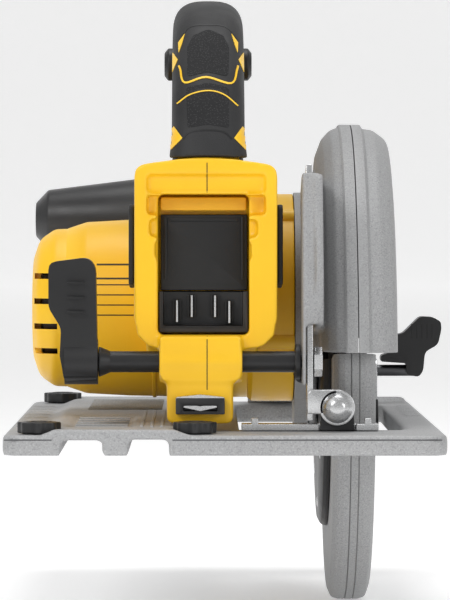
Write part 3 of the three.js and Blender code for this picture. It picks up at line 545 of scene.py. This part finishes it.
def inlay(name, outline, target, material, node, slot=None, lift=0.25, sink=0.4):
    """A thin pad that lies on a surface as seen from behind, outlined in X and Z."""
    tree = tree_of(target)
    bm = bmesh.new()
    bm.faces.new([bm.verts.new((p[0], 0, p[1])) for p in outline])
    bmesh.ops.triangulate(bm, faces=bm.faces)
    for _ in range(4):
        long = [e for e in bm.edges if e.calc_length() > 1.4]
        bmesh.ops.subdivide_edges(bm, edges=long, cuts=1)
        bmesh.ops.triangulate(bm, faces=bm.faces)
    under = {}
    for vertex in list(bm.verts):
        start = Vector((vertex.co.x, -300, vertex.co.z))
        hit, normal = tree.ray_cast(start, Vector((0, 1, 0)))[:2]
        if hit is None:
            hit, normal = tree.find_nearest(Vector((vertex.co.x, -100, vertex.co.z)))[:2]
        vertex.co = hit + normal * lift
        under[vertex] = hit - normal * sink
    rim = [e for e in bm.edges if len(e.link_faces) == 1]
    lower = {v: bm.verts.new(p) for v, p in under.items()}
    for face in list(bm.faces):
        bm.faces.new([lower[v] for v in reversed(face.verts)])
    for edge in rim:
        a, b = edge.verts
        bm.faces.new((a, b, lower[b], lower[a]))
    return detail(object_from(bm, name, material), node, slot)


def band(points, width):
    """The outline of a line of even width through the points."""
    line = [Vector(p) for p in points]
    sides = ([], [])
    for i, here in enumerate(line):
        along = (line[min(i + 1, len(line) - 1)] - line[max(i - 1, 0)]).normalized()
        across = Vector((-along.y, along.x)) * width / 2
        sides[0].append(here + across)
        sides[1].append(here - across)
    return sides[0] + sides[1][::-1]


def smooth_line(points, steps):
    """A Catmull-Rom line through the points."""
    points = [Vector(p) for p in points]
    ends = [2 * points[0] - points[1], *points, 2 * points[-1] - points[-2]]
    out = []
    for i in range(1, len(ends) - 2):
        a, b, c, d = ends[i - 1:i + 3]
        for k in range(steps):
            t = k / steps
            out.append(0.5 * (2 * b + (c - a) * t + (2 * a - 5 * b + 4 * c - d) * t ** 2
                              + (3 * b - a - 3 * c + d) * t ** 3))
    return out + [points[-1]]


# ------------------------------------------------------------ upper guard
def above_cut(bm, height):
    """Keeps what is above a level and closes the cut."""
    geometry = bm.verts[:] + bm.edges[:] + bm.faces[:]
    bmesh.ops.bisect_plane(
        bm, geom=geometry, plane_co=(0, 0, height), plane_no=(0, 0, -1), clear_outer=True)
    bmesh.ops.holes_fill(bm, edges=[e for e in bm.edges if len(e.link_faces) == 1])
    return bm


def make_upper_guard():
    outer_low, outer_high = box_mm("upper_guard_outer")
    skin("upper_guard_inner", 0.85, 5, circle=(ARBOR, 52, 89, 106, (38.5, 53.6)))
    profile = [
        (104.4, 53.9), (104.4, 57.8, 0.6), (102.6, 58.9, 0.8), (102.0, 63.2, 5), (97.6, 69.2, 6),
        (89, outer_high.x, 3), (60, outer_high.x, 0.8), (60, 66.6), (91, 66.6), (95.5, 64.6), (98.9, 61),
        (100.4, 57.5), (100.5, 53.9),
    ]
    shell = above_cut(lathe(rounded(profile), "X", ARBOR, 176), outer_low.z)
    stand_for(object_from(shell, "guard_outer_shell", GUARD), "upper_guard_outer")
    rim = [(100.8, 48.5), (103.9, 48.5), (104.4, 49.2, 0.4), (104.4, 53.5, 0.3), (100.8, 53.5)]
    edge = above_cut(lathe(rounded(rim), "X", ARBOR, 176), outer_low.z)
    detail(object_from(edge, "guard_inner_rim", GUARD), "upper_guard_inner")
    for i, angle in enumerate((28, 152)):
        make_screw(f"guard_screw_{i}", "upper_guard_outer", outer_high.x - 0.9, 78, angle)


def make_screw(name, node, x, radius, angle):
    """A pan-head screw with a star socket on a side wall of the guard."""
    y = ARBOR[0] + radius * math.cos(math.radians(angle))
    z = ARBOR[1] + radius * math.sin(math.radians(angle))
    profile = [(0, x), (3.4, x), (3.4, x + 0.6, 0.3), (2.6, x + 0.85, 0.3), (0, x + 0.85)]
    made = object_from(lathe(rounded(profile), "X", (y, z), 32), name, DARK)
    socket = []
    for k in range(24):
        reach = 1.25 + 0.35 * math.cos(6 * math.tau * k / 24)
        socket.append((y + reach * math.cos(math.tau * k / 24), z + reach * math.sin(math.tau * k / 24)))
    cut_by(made, extrude(socket, on_x, x + 0.3, x + 2))
    detail(object_of(made.data, name + "_head", DARK), node, "dark_steel")
    bpy.data.objects.remove(made)


# ------------------------------------------------------------ lower guard and blade
def make_lower_guard():
    low, high = box_mm("lower_guard")
    left, right = low.x, high.x
    body = [
        (30, left), (92.5, left, 1.5), (96.2, left + 1.6, 2), (97, left + 4.4, 2), (97, 50.7),
        (96.4, 51.0), (97, 51.3), (97, 54.0), (96.5, 54.3), (97, 54.6), (97, right - 4.4, 2),
        (96.2, right - 1.4, 2), (92, right, 2), (70, right), (70, right - 1.8),
        (92.5, right - 1.8), (95.1, right - 4), (95.1, left + 4), (92.5, left + 1.8), (30, left + 1.8),
    ]
    shell = lathe(rounded(body, 4), "X", ARBOR, 150, (174, 356))
    hub = lathe([(17.5, left), (30.4, left), (30.4, left + 1.8), (17.5, left + 1.8)], "X", ARBOR, 96)
    ribs = []
    for angle in (205, 240, 275, 310, 345):
        rib = block(right - 0.5, right - 0.02, -1.6, 1.6, 73, 88)
        turn = Matrix.Rotation(math.radians(angle - 90), 4, "X")
        bmesh.ops.transform(rib, matrix=turn, verts=rib.verts)
        bmesh.ops.translate(rib, vec=(0, *ARBOR), verts=rib.verts)
        ribs.append(rib)
    made = object_from(joined(shell, hub, *ribs), "lower_guard_shell", GUARD, sharp=35)
    stand_for(made, "lower_guard")

    low, high = box_mm("guard_hub_plate")
    plate = [
        (30, low.x), (62.6, low.x), (65, low.x + 1.2, 1), (66, low.x + 2.6, 0.8), (66, high.x), (30, high.x)]
    web = lathe(rounded(plate), "X", ARBOR, 120, (174, 356))
    ring = lathe([(17.5, low.x), (30.3, low.x), (30.3, high.x), (17.5, high.x)], "X", ARBOR, 96)
    stand_for(object_from(joined(web, ring), "guard_hub_web", BLACK), "guard_hub_plate")
    for i, angle in enumerate((216, 262, 308)):
        y = ARBOR[0] + 56 * math.cos(math.radians(angle))
        z = ARBOR[1] + 56 * math.sin(math.radians(angle))
        head = [
            (0, low.x + 0.5), (2.4, low.x + 0.5), (2.2, low.x - 0.1, 0.4), (1.2, low.x - 0.3),
            (0, low.x - 0.3),
        ]
        rivet = lathe(rounded(head), "X", (y, z), 24)
        detail(object_from(rivet, f"hub_rivet_{i}", STEEL), "guard_hub_plate", "bright_steel")
    crisp("guard_lever", 0.5)


BLADE_TEETH = 24


def make_blade():
    """The saw plate with brazed carbide tips and expansion slots."""
    low, high = box_mm("blade")
    plate = crisp("blade", 0.08, 1)
    slots = []
    for k in range(4):
        slot = block(low.x - 1, high.x + 1, -0.5, 0.5, 66, 80)
        hole = extrude([(1.6 * math.cos(a), 66 + 1.6 * math.sin(a)) for a in
                        (math.tau * i / 16 for i in range(16))], on_x, low.x - 1, high.x + 1)
        turn = Matrix.Rotation(math.radians(90 * k + 8), 4, "X")
        for cutter in (slot, hole):
            bmesh.ops.transform(cutter, matrix=turn, verts=cutter.verts)
            bmesh.ops.translate(cutter, vec=(0, *ARBOR), verts=cutter.verts)
            slots.append(cutter)
    plate.modifiers.clear()
    cut_by(plate, *slots)
    plate.data.set_sharp_from_angle(angle=math.radians(20))
    tips = []
    step = 360 / BLADE_TEETH
    for k in range(BLADE_TEETH):
        tip = block(low.x - 0.2, high.x + 0.2, 0.1, 1.5, 84.5, 91.6)
        turn = Matrix.Rotation(math.radians((k + 1) * step - 90 - 0.4), 4, "X")
        bmesh.ops.transform(tip, matrix=turn, verts=tip.verts)
        bmesh.ops.translate(tip, vec=(0, *ARBOR), verts=tip.verts)
        tips.append(tip)
    detail(object_from(joined(*tips), "carbide_tips", DARK), "blade", "dark_steel")


# ------------------------------------------------------------ motor
def make_motor():
    low, high = box_mm("motor_housing")
    barrel = [
        (30.9, low.x), (33.7, low.x), (36.4, low.x + 8, 8), (37.4, low.x + 26, 10), (38, -10), (38, 12),
        (34.2, 12), (34.2, low.x + 10), (31, low.x + 4),
    ]
    bands = []
    for x in (-30, -4):
        hoop = [(37.4, x), (38.15, x + 0.2, 0.2), (38.15, x + 1.6, 0.2), (37.4, x + 1.8)]
        bands.append(lathe(rounded(hoop), "X", MOTOR, 128))
    body = object_from(joined(lathe(rounded(barrel), "X", MOTOR, 160), *bands), "motor_barrel", YELLOW)
    stand_for(body, "motor_housing")
    centre = (0, high.z - 44.1)
    flange = [
        (33, 10), (42.4, 10, 1), (44, 12, 1.2), (44, high.x, 0.6), (41.2, high.x), (41.2, 12.8),
        (33, 12.8),
    ]
    ring = object_from(lathe(rounded(flange), "X", centre, 160), "motor_flange", YELLOW)
    detail(ring, "motor_housing")
    for i, angle in enumerate((52, 128, 204, 336)):
        y = 46.2 * math.cos(math.radians(angle)) * 0.93
        z = centre[1] + 46.2 * math.sin(math.radians(angle)) * 0.93
        lug = lathe(rounded([(0, 14.5), (3.4, 14.5, 0.8), (3.4, high.x), (0, high.x)]), "X", (y, z), 32)
        if z < high.z - 4:
            detail(object_from(lug, f"flange_lug_{i}", YELLOW), "motor_housing")
    make_label(body)

    cap_low, cap_high = box_mm("motor_end_cap")
    cup = [
        (0, cap_low.x), (21, cap_low.x, 6), (29, cap_low.x + 2.6, 8), (33.4, cap_low.x + 9, 6),
        (33.6, cap_high.x), (31, cap_high.x), (28.6, -72.6), (24.8, -76.6), (12.5, -77.6),
        (12.5, cap_high.x + 2.5),
        (9.3, cap_high.x + 2.5), (9.3, -71), (0, -71),
    ]
    cap = object_from(lathe(rounded(cup), "X", MOTOR, 144), "motor_cap", YELLOW)
    slits = []
    for height in (-17.6, -7.2, 3.3, 13.8):
        for side in (-1, 1):
            ends = sorted((17 * side, 40 * side))
            z = MOTOR[1] + height
            slits.append(block(-79.4, -69.5, *ends, z - 1.2, z + 1.2))
    cut_by(cap, *slits)
    stand_for(object_of(cap.data, "motor_cap_louvred", YELLOW, 35), "motor_end_cap")
    # Painted shade: a near-black sheet inside the cap, seen through the louvres, stands for the shadow
    # inside the motor end.
    shade_profile = [(12.8, -76.9), (24.3, -75.9), (27.9, -72.2), (30.4, -66), (29.6, -66), (27.2, -71.6),
              (23.8, -75), (12.8, -76)]
    cap_shade_sheet = object_from(lathe(shade_profile, "X", MOTOR, 96), "motor_cap_shade_sheet", LINER)
    detail(cap_shade_sheet, "motor_end_cap", "black_plastic")
    bpy.data.objects.remove(cap)


def make_label(body):
    """A plain rating-plate field: thin rules only, no writing."""
    for i, (left, z) in enumerate(
            ((-53, 73.2), (-53, 67.4), (-53, 64.8), (-53, 60.6), (-53, 56.4), (-53, 52.2))):
        rule = band([(left, z), (-37.4, z)], 0.75 if i < 2 else 0.5)
        inlay(f"label_rule_{i}", rule, body, INK, "motor_housing", "black_plastic", 0.06, 0.3)


# ------------------------------------------------------------ battery foot and handle
SEAM_X = -7
FOOT_REAR = -110


def make_foot():
    """Both handle halves as one moulding, with the battery window, its liner and the seam."""
    boss = [(-25.7, 27.5, 4), (6.8, 27.5, 4), (6.8, 46, 1), (-25.7, 46, 1)]
    cuts = [
        block(-31, 16.4, FOOT_REAR - 5, FOOT_REAR + 2.5, 102.6, 109.8),
        block(-31, 16.4, FOOT_REAR - 5, FOOT_REAR + 6, 93.9, 101.8),
    ]
    notches = (
        (-29.9, -26, 85.2, 92.2), (9.2, 13, 85, 92), (-27.6, -26, 76, 83.6), (9.2, 10.6, 76, 83.2))
    for x0, x1, z0, z1 in notches:
        cuts.append(block(x0, x1, FOOT_REAR - 2, FOOT_REAR + 4, z0, z1))
    raised = [extrude(rounded(boss), on_y, FOOT_REAR - 7.6, FOOT_REAR + 8)]
    foot = skin(("handle_left", "handle_right"), 0.98, 3, raised, cuts)
    for name, low, high in (("seam_foot", 24.5, 45.8), ("seam_top", 102.8, 114.6)):
        line = band([(SEAM_X, low), (SEAM_X, high)], 0.35)
        inlay(name, line, foot, LINER, "handle_left", "black_plastic", 0.1, 0.3)

    pocket = [(-25.6, 94, 0.6), (9.2, 94, 0.6), (9.2, 63.6, 0.6), (-25.6, 63.6, 0.6)]
    liner = object_from(bevelled(extrude(rounded(pocket), on_y, -98.4, -95.0), 0.5), "pocket_liner", LINER)
    detail(liner, "handle_left", "black_plastic")
    ridges = [block(x, x + 1.1, -99.2, -98.2, 68, 93) for x in (-24.2, 6.6)]
    ridges += [block(-22, 5.4, -98.9, -98.2, 91.4, 92.6)]
    trim = object_from(bevelled(joined(*ridges), 0.25, 2), "pocket_liner_ridges", LINER)
    detail(trim, "handle_left", "black_plastic")
    # Painted shade: a darker yellow block at the top of the battery pocket stands for the shadow under the
    # pocket's upper lip.
    latch = extrude(rounded([(-25.6, 95.6, 1.2), (8.8, 95.6, 1.2), (8.8, 100.9, 1.2), (-25.6, 100.9, 1.2)]),
                    on_y, -101.0, -97.5)
    detail(object_from(bevelled(latch, 0.5), "latch_recess_painted_shade", YELLOW_PAINTED_SHADE), "handle_left", "yellow_housing")

    make_terminals()
    for side in ("left", "right"):
        crisp(f"bumper_{side}", 0.9, 4)
    crisp("clip_body", 0.5)
    low, high = box_mm("clip_body")
    middle = (low.x + high.x) / 2
    strip = rounded([
        (-9.8, -0.3, 0.8), (-9.4, 1.1, 0.8), (0, 2.1, 8), (9.4, 1.1, 0.8), (9.8, -0.3, 0.8), (0, 0.1)])
    bar = extrude([(middle + a, high.z - 0.9 + b) for a, b in strip], on_y, low.y + 0.2, high.y)
    chevron = band([(middle - 6.4, low.z + 3.6), (middle, low.z + 2.2), (middle + 6.4, low.z + 3.6)], 1.8)
    bend = extrude(chevron, on_y, low.y + 1.2, high.y - 1)
    wire = object_from(joined(bar, bend), "clip_spring", STEEL)
    detail(wire, "clip_body", "bright_steel")


def make_terminals():
    low = box_mm("terminal_block")[0]
    crisp("terminal_block", 0.5)
    rows = []
    for i in range(4):
        t_low, t_high = box_mm(f"terminal_{i + 1}")
        rows.append(block(t_low.x - 1.3, t_low.x - 0.5, low.y + 4.4, low.y + 6.6, t_low.z, t_high.z))
        rows.append(block(t_high.x + 0.5, t_high.x + 1.3, low.y + 4.4, low.y + 6.6, t_low.z, t_high.z))
        crisp(f"terminal_{i + 1}", 0.12, 2)
    combs = object_from(bevelled(joined(*rows), 0.12, 2), "terminal_guides", LINER)
    detail(combs, "terminal_block")


HANDLE_LINE = [
    (-97, 112), (-91, 125), (-80, 141), (-64, 155), (-44, 165.2), (-20, 170), (4, 168.6), (25, 160),
    (38.5, 147), (44, 130), (42, 112), (36, 92),
]


def bar_along(line, middle, width, height, rounding, steps=10):
    """Sweeps an upright rounded rectangle along a line in Y and Z; it flares below Z 125."""
    w, h = width / 2, height / 2
    corners = [(-w, -h, rounding), (w, -h, rounding), (w, h, rounding), (-w, h, rounding)]
    section = rounded(corners, 8)
    path = smooth_line(line, steps)
    bm = bmesh.new()
    rings = []
    for i, here in enumerate(path):
        along = (path[min(i + 1, len(path) - 1)] - path[max(i - 1, 0)]).normalized()
        up = Vector((-along.y, along.x))
        flare = 1 + 0.09 * min(1, max(0, (125 - here.y) / 12))
        rings.append([
            bm.verts.new((middle + a * flare, here.x + up.x * b, here.y + up.y * b)) for a, b in section])
    for first, second in zip(rings, rings[1:]):
        for k in range(len(section)):
            n = (k + 1) % len(section)
            bm.faces.new((first[k], first[n], second[n], second[k]))
    bm.faces.new(rings[0])
    bm.faces.new(rings[-1])
    bmesh.ops.recalc_face_normals(bm, faces=bm.faces)
    return bm


def make_grip():
    low, high = box_mm("grip")
    middle = (low.x + high.x) / 2
    foot_top = low.z
    bar = object_from(bar_along(HANDLE_LINE, middle, 29.4, 27.7, 13), "grip_bar", RUBBER)
    hollow = bar_along(HANDLE_LINE, middle, 23.4, 21.8, 9)
    rear_cut = block(-40, 30, -135, -60, 60, 116.7)
    front_cut = block(-40, 30, -20, 90, 60, foot_top if foot_top < 114 else 113.5)
    t_low, t_high = box_mm("trigger")
    room = block(t_low.x - 1.3, t_high.x + 1.3, t_low.y - 2.3, t_high.y + 1.6, 135, 172)
    l_low, l_high = box_mm("lock_off")
    centre = ((l_low.y + l_high.y) / 2, (l_low.z + l_high.z) / 2)
    bore = lathe([(0, -40), (7.5, -40), (7.5, 30), (0, 30)], "X", centre, 48)
    cut_by(bar, hollow, rear_cut, front_cut, room, bore)
    soft = bar.modifiers.new("fine", "REMESH")
    soft.mode = "VOXEL"
    soft.voxel_size = 0.75 * MM
    relax = bar.modifiers.new("soften", "SMOOTH")
    relax.factor = 0.5
    relax.iterations = 4
    baked(bar)
    grip = stand_for(object_of(bar.data, "grip_skin", RUBBER, 180), "grip")
    bpy.data.objects.remove(bar)
    make_grip_trim(grip, middle)
    crisp("trigger", 0.9, 4)
    turned("lock_off", [
        (0, l_low.x), (5.0, l_low.x, 1), (7, l_low.x + 1.6, 1), (7, l_low.x + 10.7, 0.4),
        (3.6, l_low.x + 10.7), (3.6, 1.5), (7, 1.5, 0.4), (7, l_high.x - 1.6, 1),
        (5.0, l_high.x, 1), (0, l_high.x)], "X", centre, 48)


def make_grip_trim(grip, middle):
    """Yellow flashes, seam lines and the stippled palm pad on the grip."""
    def both(name, points):
        for side, label in ((1, "left"), (-1, "right")):
            outline = [(middle + side * (x - middle), z) for x, z in points]
            inlay(f"{name}_{label}", outline, grip, YELLOW, "grip", "yellow_housing")

    flashes = {
        "flash_upper": [(-16, 167.9), (-18.6, 164.2), (-18.4, 160), (-17.2, 163.4)],
        "flash_side": [(-20.9, 160.3), (-18.8, 157), (-20.9, 152)],
        "flash_lower": [(-20.2, 129.3), (-16.8, 124.5), (-21.4, 119.9), (-22, 127.5)],
    }
    for name, points in flashes.items():
        both(name, points)
    wave = smooth_line([(-18.3, 154.3), (-17.7, 152.7), (-15.9, 147.1), (-7.4, 149.3), (2.7, 146.8),
                        (5.1, 152.7), (5.5, 154.3)], 6)
    inlay("flash_wave", band(wave, 0.7), grip, YELLOW, "grip", "yellow_housing")
    stripe = [(-19, 138.5), (-13.8, 142.1), (middle, 143.7), (-0.2, 142.1), (5.4, 137.6)]
    inlay("pinstripe", band(smooth_line(stripe, 6), 0.45), grip, YELLOW, "grip", "yellow_housing")
    arches = {
        "seam_stripe": [(x, z + 0.75) for x, z in stripe],
        "seam_upper": [(-18.4, 165.6), (-13.9, 170.9), (middle, 171.7), (0.8, 170.9), (5.8, 165.6)],
        "seam_lower": [(-16.6, 124.1), (-13.8, 126.9), (middle, 127.7), (-0.2, 126.9), (3, 124.1)],
    }
    for name, points in arches.items():
        inlay(name, band(smooth_line(points, 6), 0.6), grip, LINER, "grip", "black_plastic", lift=0.12)
    pad = [(-15, 162, 2), (-12.6, 167, 2), (middle, 169.8, 4), (-0.4, 167, 2), (2, 162, 2),
           (1.6, 149.6, 1.5), (middle, 151.4, 1), (-15, 149.6, 1.5)]
    inlay("palm_pad", rounded(pad), grip, STIPPLE, "grip", "grip_rubber", lift=0.15)
    low_pad = [(-15.4, 145, 1.5), (middle, 147, 5), (1.8, 145, 1.5), (1.8, 128.6, 1), (middle, 130, 4),
               (-14.8, 128.6, 1)]
    inlay("palm_pad_lower", rounded(low_pad), grip, STIPPLE, "grip", "grip_rubber", lift=0.1)


# ------------------------------------------------------------ front handle, levers and knobs
def make_front_handle():
    low, high = box_mm("aux_handle")
    centre = ((low.y + high.y) / 2, (low.z + high.z) / 2)
    end = low.x
    profile = [
        (0, end), (7.5, end, 1.5), (13.3, end + 5.5, 2.5), (18.2, end + 45, 10), (17.9, -20, 6),
        (14, -12, 3), (14, high.x), (0, high.x),
    ]
    turned("aux_handle", profile, "X", centre, 128, SATIN)
    skin("aux_bracket", 0.9, 5)


def make_depth_lever():
    low = box_mm("depth_lever")[0]
    crisp("depth_lever", 1.1, 4)
    ribs = [block(-62.3, -55.4, low.y - 0.02, low.y + 1, z, z + 0.9) for z in (54.9, 60.6, 66.5)]
    detail(object_from(bevelled(joined(*ribs), 0.2, 2), "depth_lever_ribs", LINER), "depth_lever")
    low, high = box_mm("depth_rod")
    x = low.x
    turned("depth_rod", [
        (0, x), (3.5, x), (3.5, x + 8.9), (6.2, x + 8.9, 0.6), (4.2, x + 13.6, 2), (4.2, 27.9),
        (7, 27.9, 0.5), (7, 30.2, 0.5), (2.6, 30.2), (2.6, high.x - 0.4, 0.3), (2.3, high.x),
        (0, high.x)], "X", CLAMP, 64, BLACK)
    crisp("clamp_nut", 0.4)


def make_tilt_lever():
    crisp("bevel_lever", 1.1, 4)
    low = box_mm("bevel_lever")[0]
    ribs = []
    for k in range(5):
        ribs.append(block(86.4 + k * 2.3, 87.4 + k * 2.3, low.y - 0.01, low.y + 0.8, 37.6, 44.4))
    detail(object_from(bevelled(joined(*ribs), 0.2, 2), "bevel_lever_ribs", LINER), "bevel_lever")
    crisp("bevel_lock_shaft", 0.3)
    crisp("lock_bracket", 0.4)


def make_knobs():
    for node in ("rail_knob_front", "rail_knob_rear", "fence_knob"):
        low, high = box_mm(node)
        cx, cy = (low.x + high.x) / 2, (low.y + high.y) / 2
        outline = []
        for k in range(96):
            angle = math.tau * k / 96
            reach = 8.1 + 0.45 * math.cos(8 * angle)
            outline.append((cx + reach * math.cos(angle), cy + reach * math.sin(angle)))
        head = bevelled(extrude(outline, on_z, 8.4, high.z - 0.3), 0.5, 3, 50)
        dish = [(0, 9), (5.2, 9), (5.2, high.z, 0.6), (3.4, high.z - 0.05, 0.5), (3.2, high.z - 0.7),
                (0, high.z - 0.7)]
        cap = lathe(rounded(dish), "Z", (cx, cy), 48)
        stud = lathe([(0, low.z), (2.6, low.z), (2.6, 9), (0, 9)], "Z", (cx, cy), 32)
        stand_for(object_from(joined(head, cap, stud), f"{node}_lobed", BLACK, sharp=35), node)


# ------------------------------------------------------------ shoe and pivots
def make_shoe():
    """The cast shoe: softened edges, a ribbed top and a line along its rear face."""
    low = box_mm("shoe_plate")[0]
    skin("shoe_plate", 1.2, 2)
    ribs = []
    for y in (-120, -102, -84, -66, -48):
        ribs.append(block(-59.5, -38.5, y, y + 3.4, 9.2, 10.2))
    for k in range(9):
        y = 16 + k * 11
        ribs.append(block(-58, -26, y, y + 1.6, 10.0, 10.75))
    for x in (-33.5, -29.5, -25.5):
        ribs.append(block(x, x + 1.3, -128, 4, 10.0, 10.7))
    trim = object_from(bevelled(joined(*ribs), 0.3, 2), "shoe_top_ribs", SHOE)
    detail(trim, "shoe_plate")
    edge = []
    for x0, x1 in ((-86, -67.5), (-20.5, 84.5)):
        edge.append(block(x0, x1, low.y - 0.0, low.y + 0.5, 5.9, 6.4))
    line = object_from(joined(*edge), "shoe_edge_line", DARK)
    detail(line, "shoe_plate", "dark_steel")


def make_pivots():
    for node in ("rear_strip", "rear_pivot_ear", "front_quadrant", "depth_bracket", "front_carrier"):
        crisp(node, 0.35, 3)
    low, high = box_mm("rear_pivot_plate")
    tail = [(low.x, 15), (40, 15), (TILT_X, 11.4), (TILT_X, 24.6), (34, 24.6, 1), (low.x, 23)]
    plate = bevelled(extrude(rounded(tail), on_y, low.y, high.y), 0.4)
    eye = [(3, low.y), (7.1, low.y, 0.4), (7.1, high.y), (3, high.y)]
    ring = lathe(rounded(eye), "Y", (TILT_X, TILT_Z), 72)
    stand_for(object_from(joined(plate, ring), "rear_pivot_face", STEEL), "rear_pivot_plate")
    dome = [(0, 0), (2.6, 0.25, 3), (4.8, 1.9, 2.5), (6, 4.2, 1), (6, 5.8), (2.7, 5.8), (2.7, 12.8),
            (4.2, 12.8), (4.2, 14.2), (0, 14.2)]
    for node, sign in (("rear_pivot_rivet", 1), ("front_pivot_rivet", -1)):
        low, high = box_mm(node)
        start = low.y if sign > 0 else high.y
        turned(node, [(r, start + sign * a, *rest) for r, a, *rest in dome], "Y", (TILT_X, TILT_Z), 72)
    crisp("tilt_clamp_bolt", 0.4)
    crisp("depth_pivot_pin", 0.4)


INNER_NODES = (
    "gear_case", "spindle", "drive_gear", "inner_flange", "outer_flange", "blade_bolt", "spindle_bearing",
    "rotor_shaft", "rotor_core", "fan", "stator", "motor_rear_bearing", "motor_front_bearing",
    "switch_module", "control_board", "spindle_lock",
)


def make_rest():
    """Machined and inner parts: the CAD shape with broken edges."""
    for node in INNER_NODES:
        crisp(node, 0.12 if node == "drive_gear" else 0.3, 2)
    spring = frame["nodes"]["guard_spring"]
    spring.data.materials.clear()
    spring.data.materials.append(DARK)


make_camera()
make_studio()
make_floor()
make_upper_guard()
make_lower_guard()
make_blade()
make_motor()
make_foot()
make_grip()
make_front_handle()
make_depth_lever()
make_tilt_lever()
make_knobs()
make_shoe()
make_pivots()
make_rest()
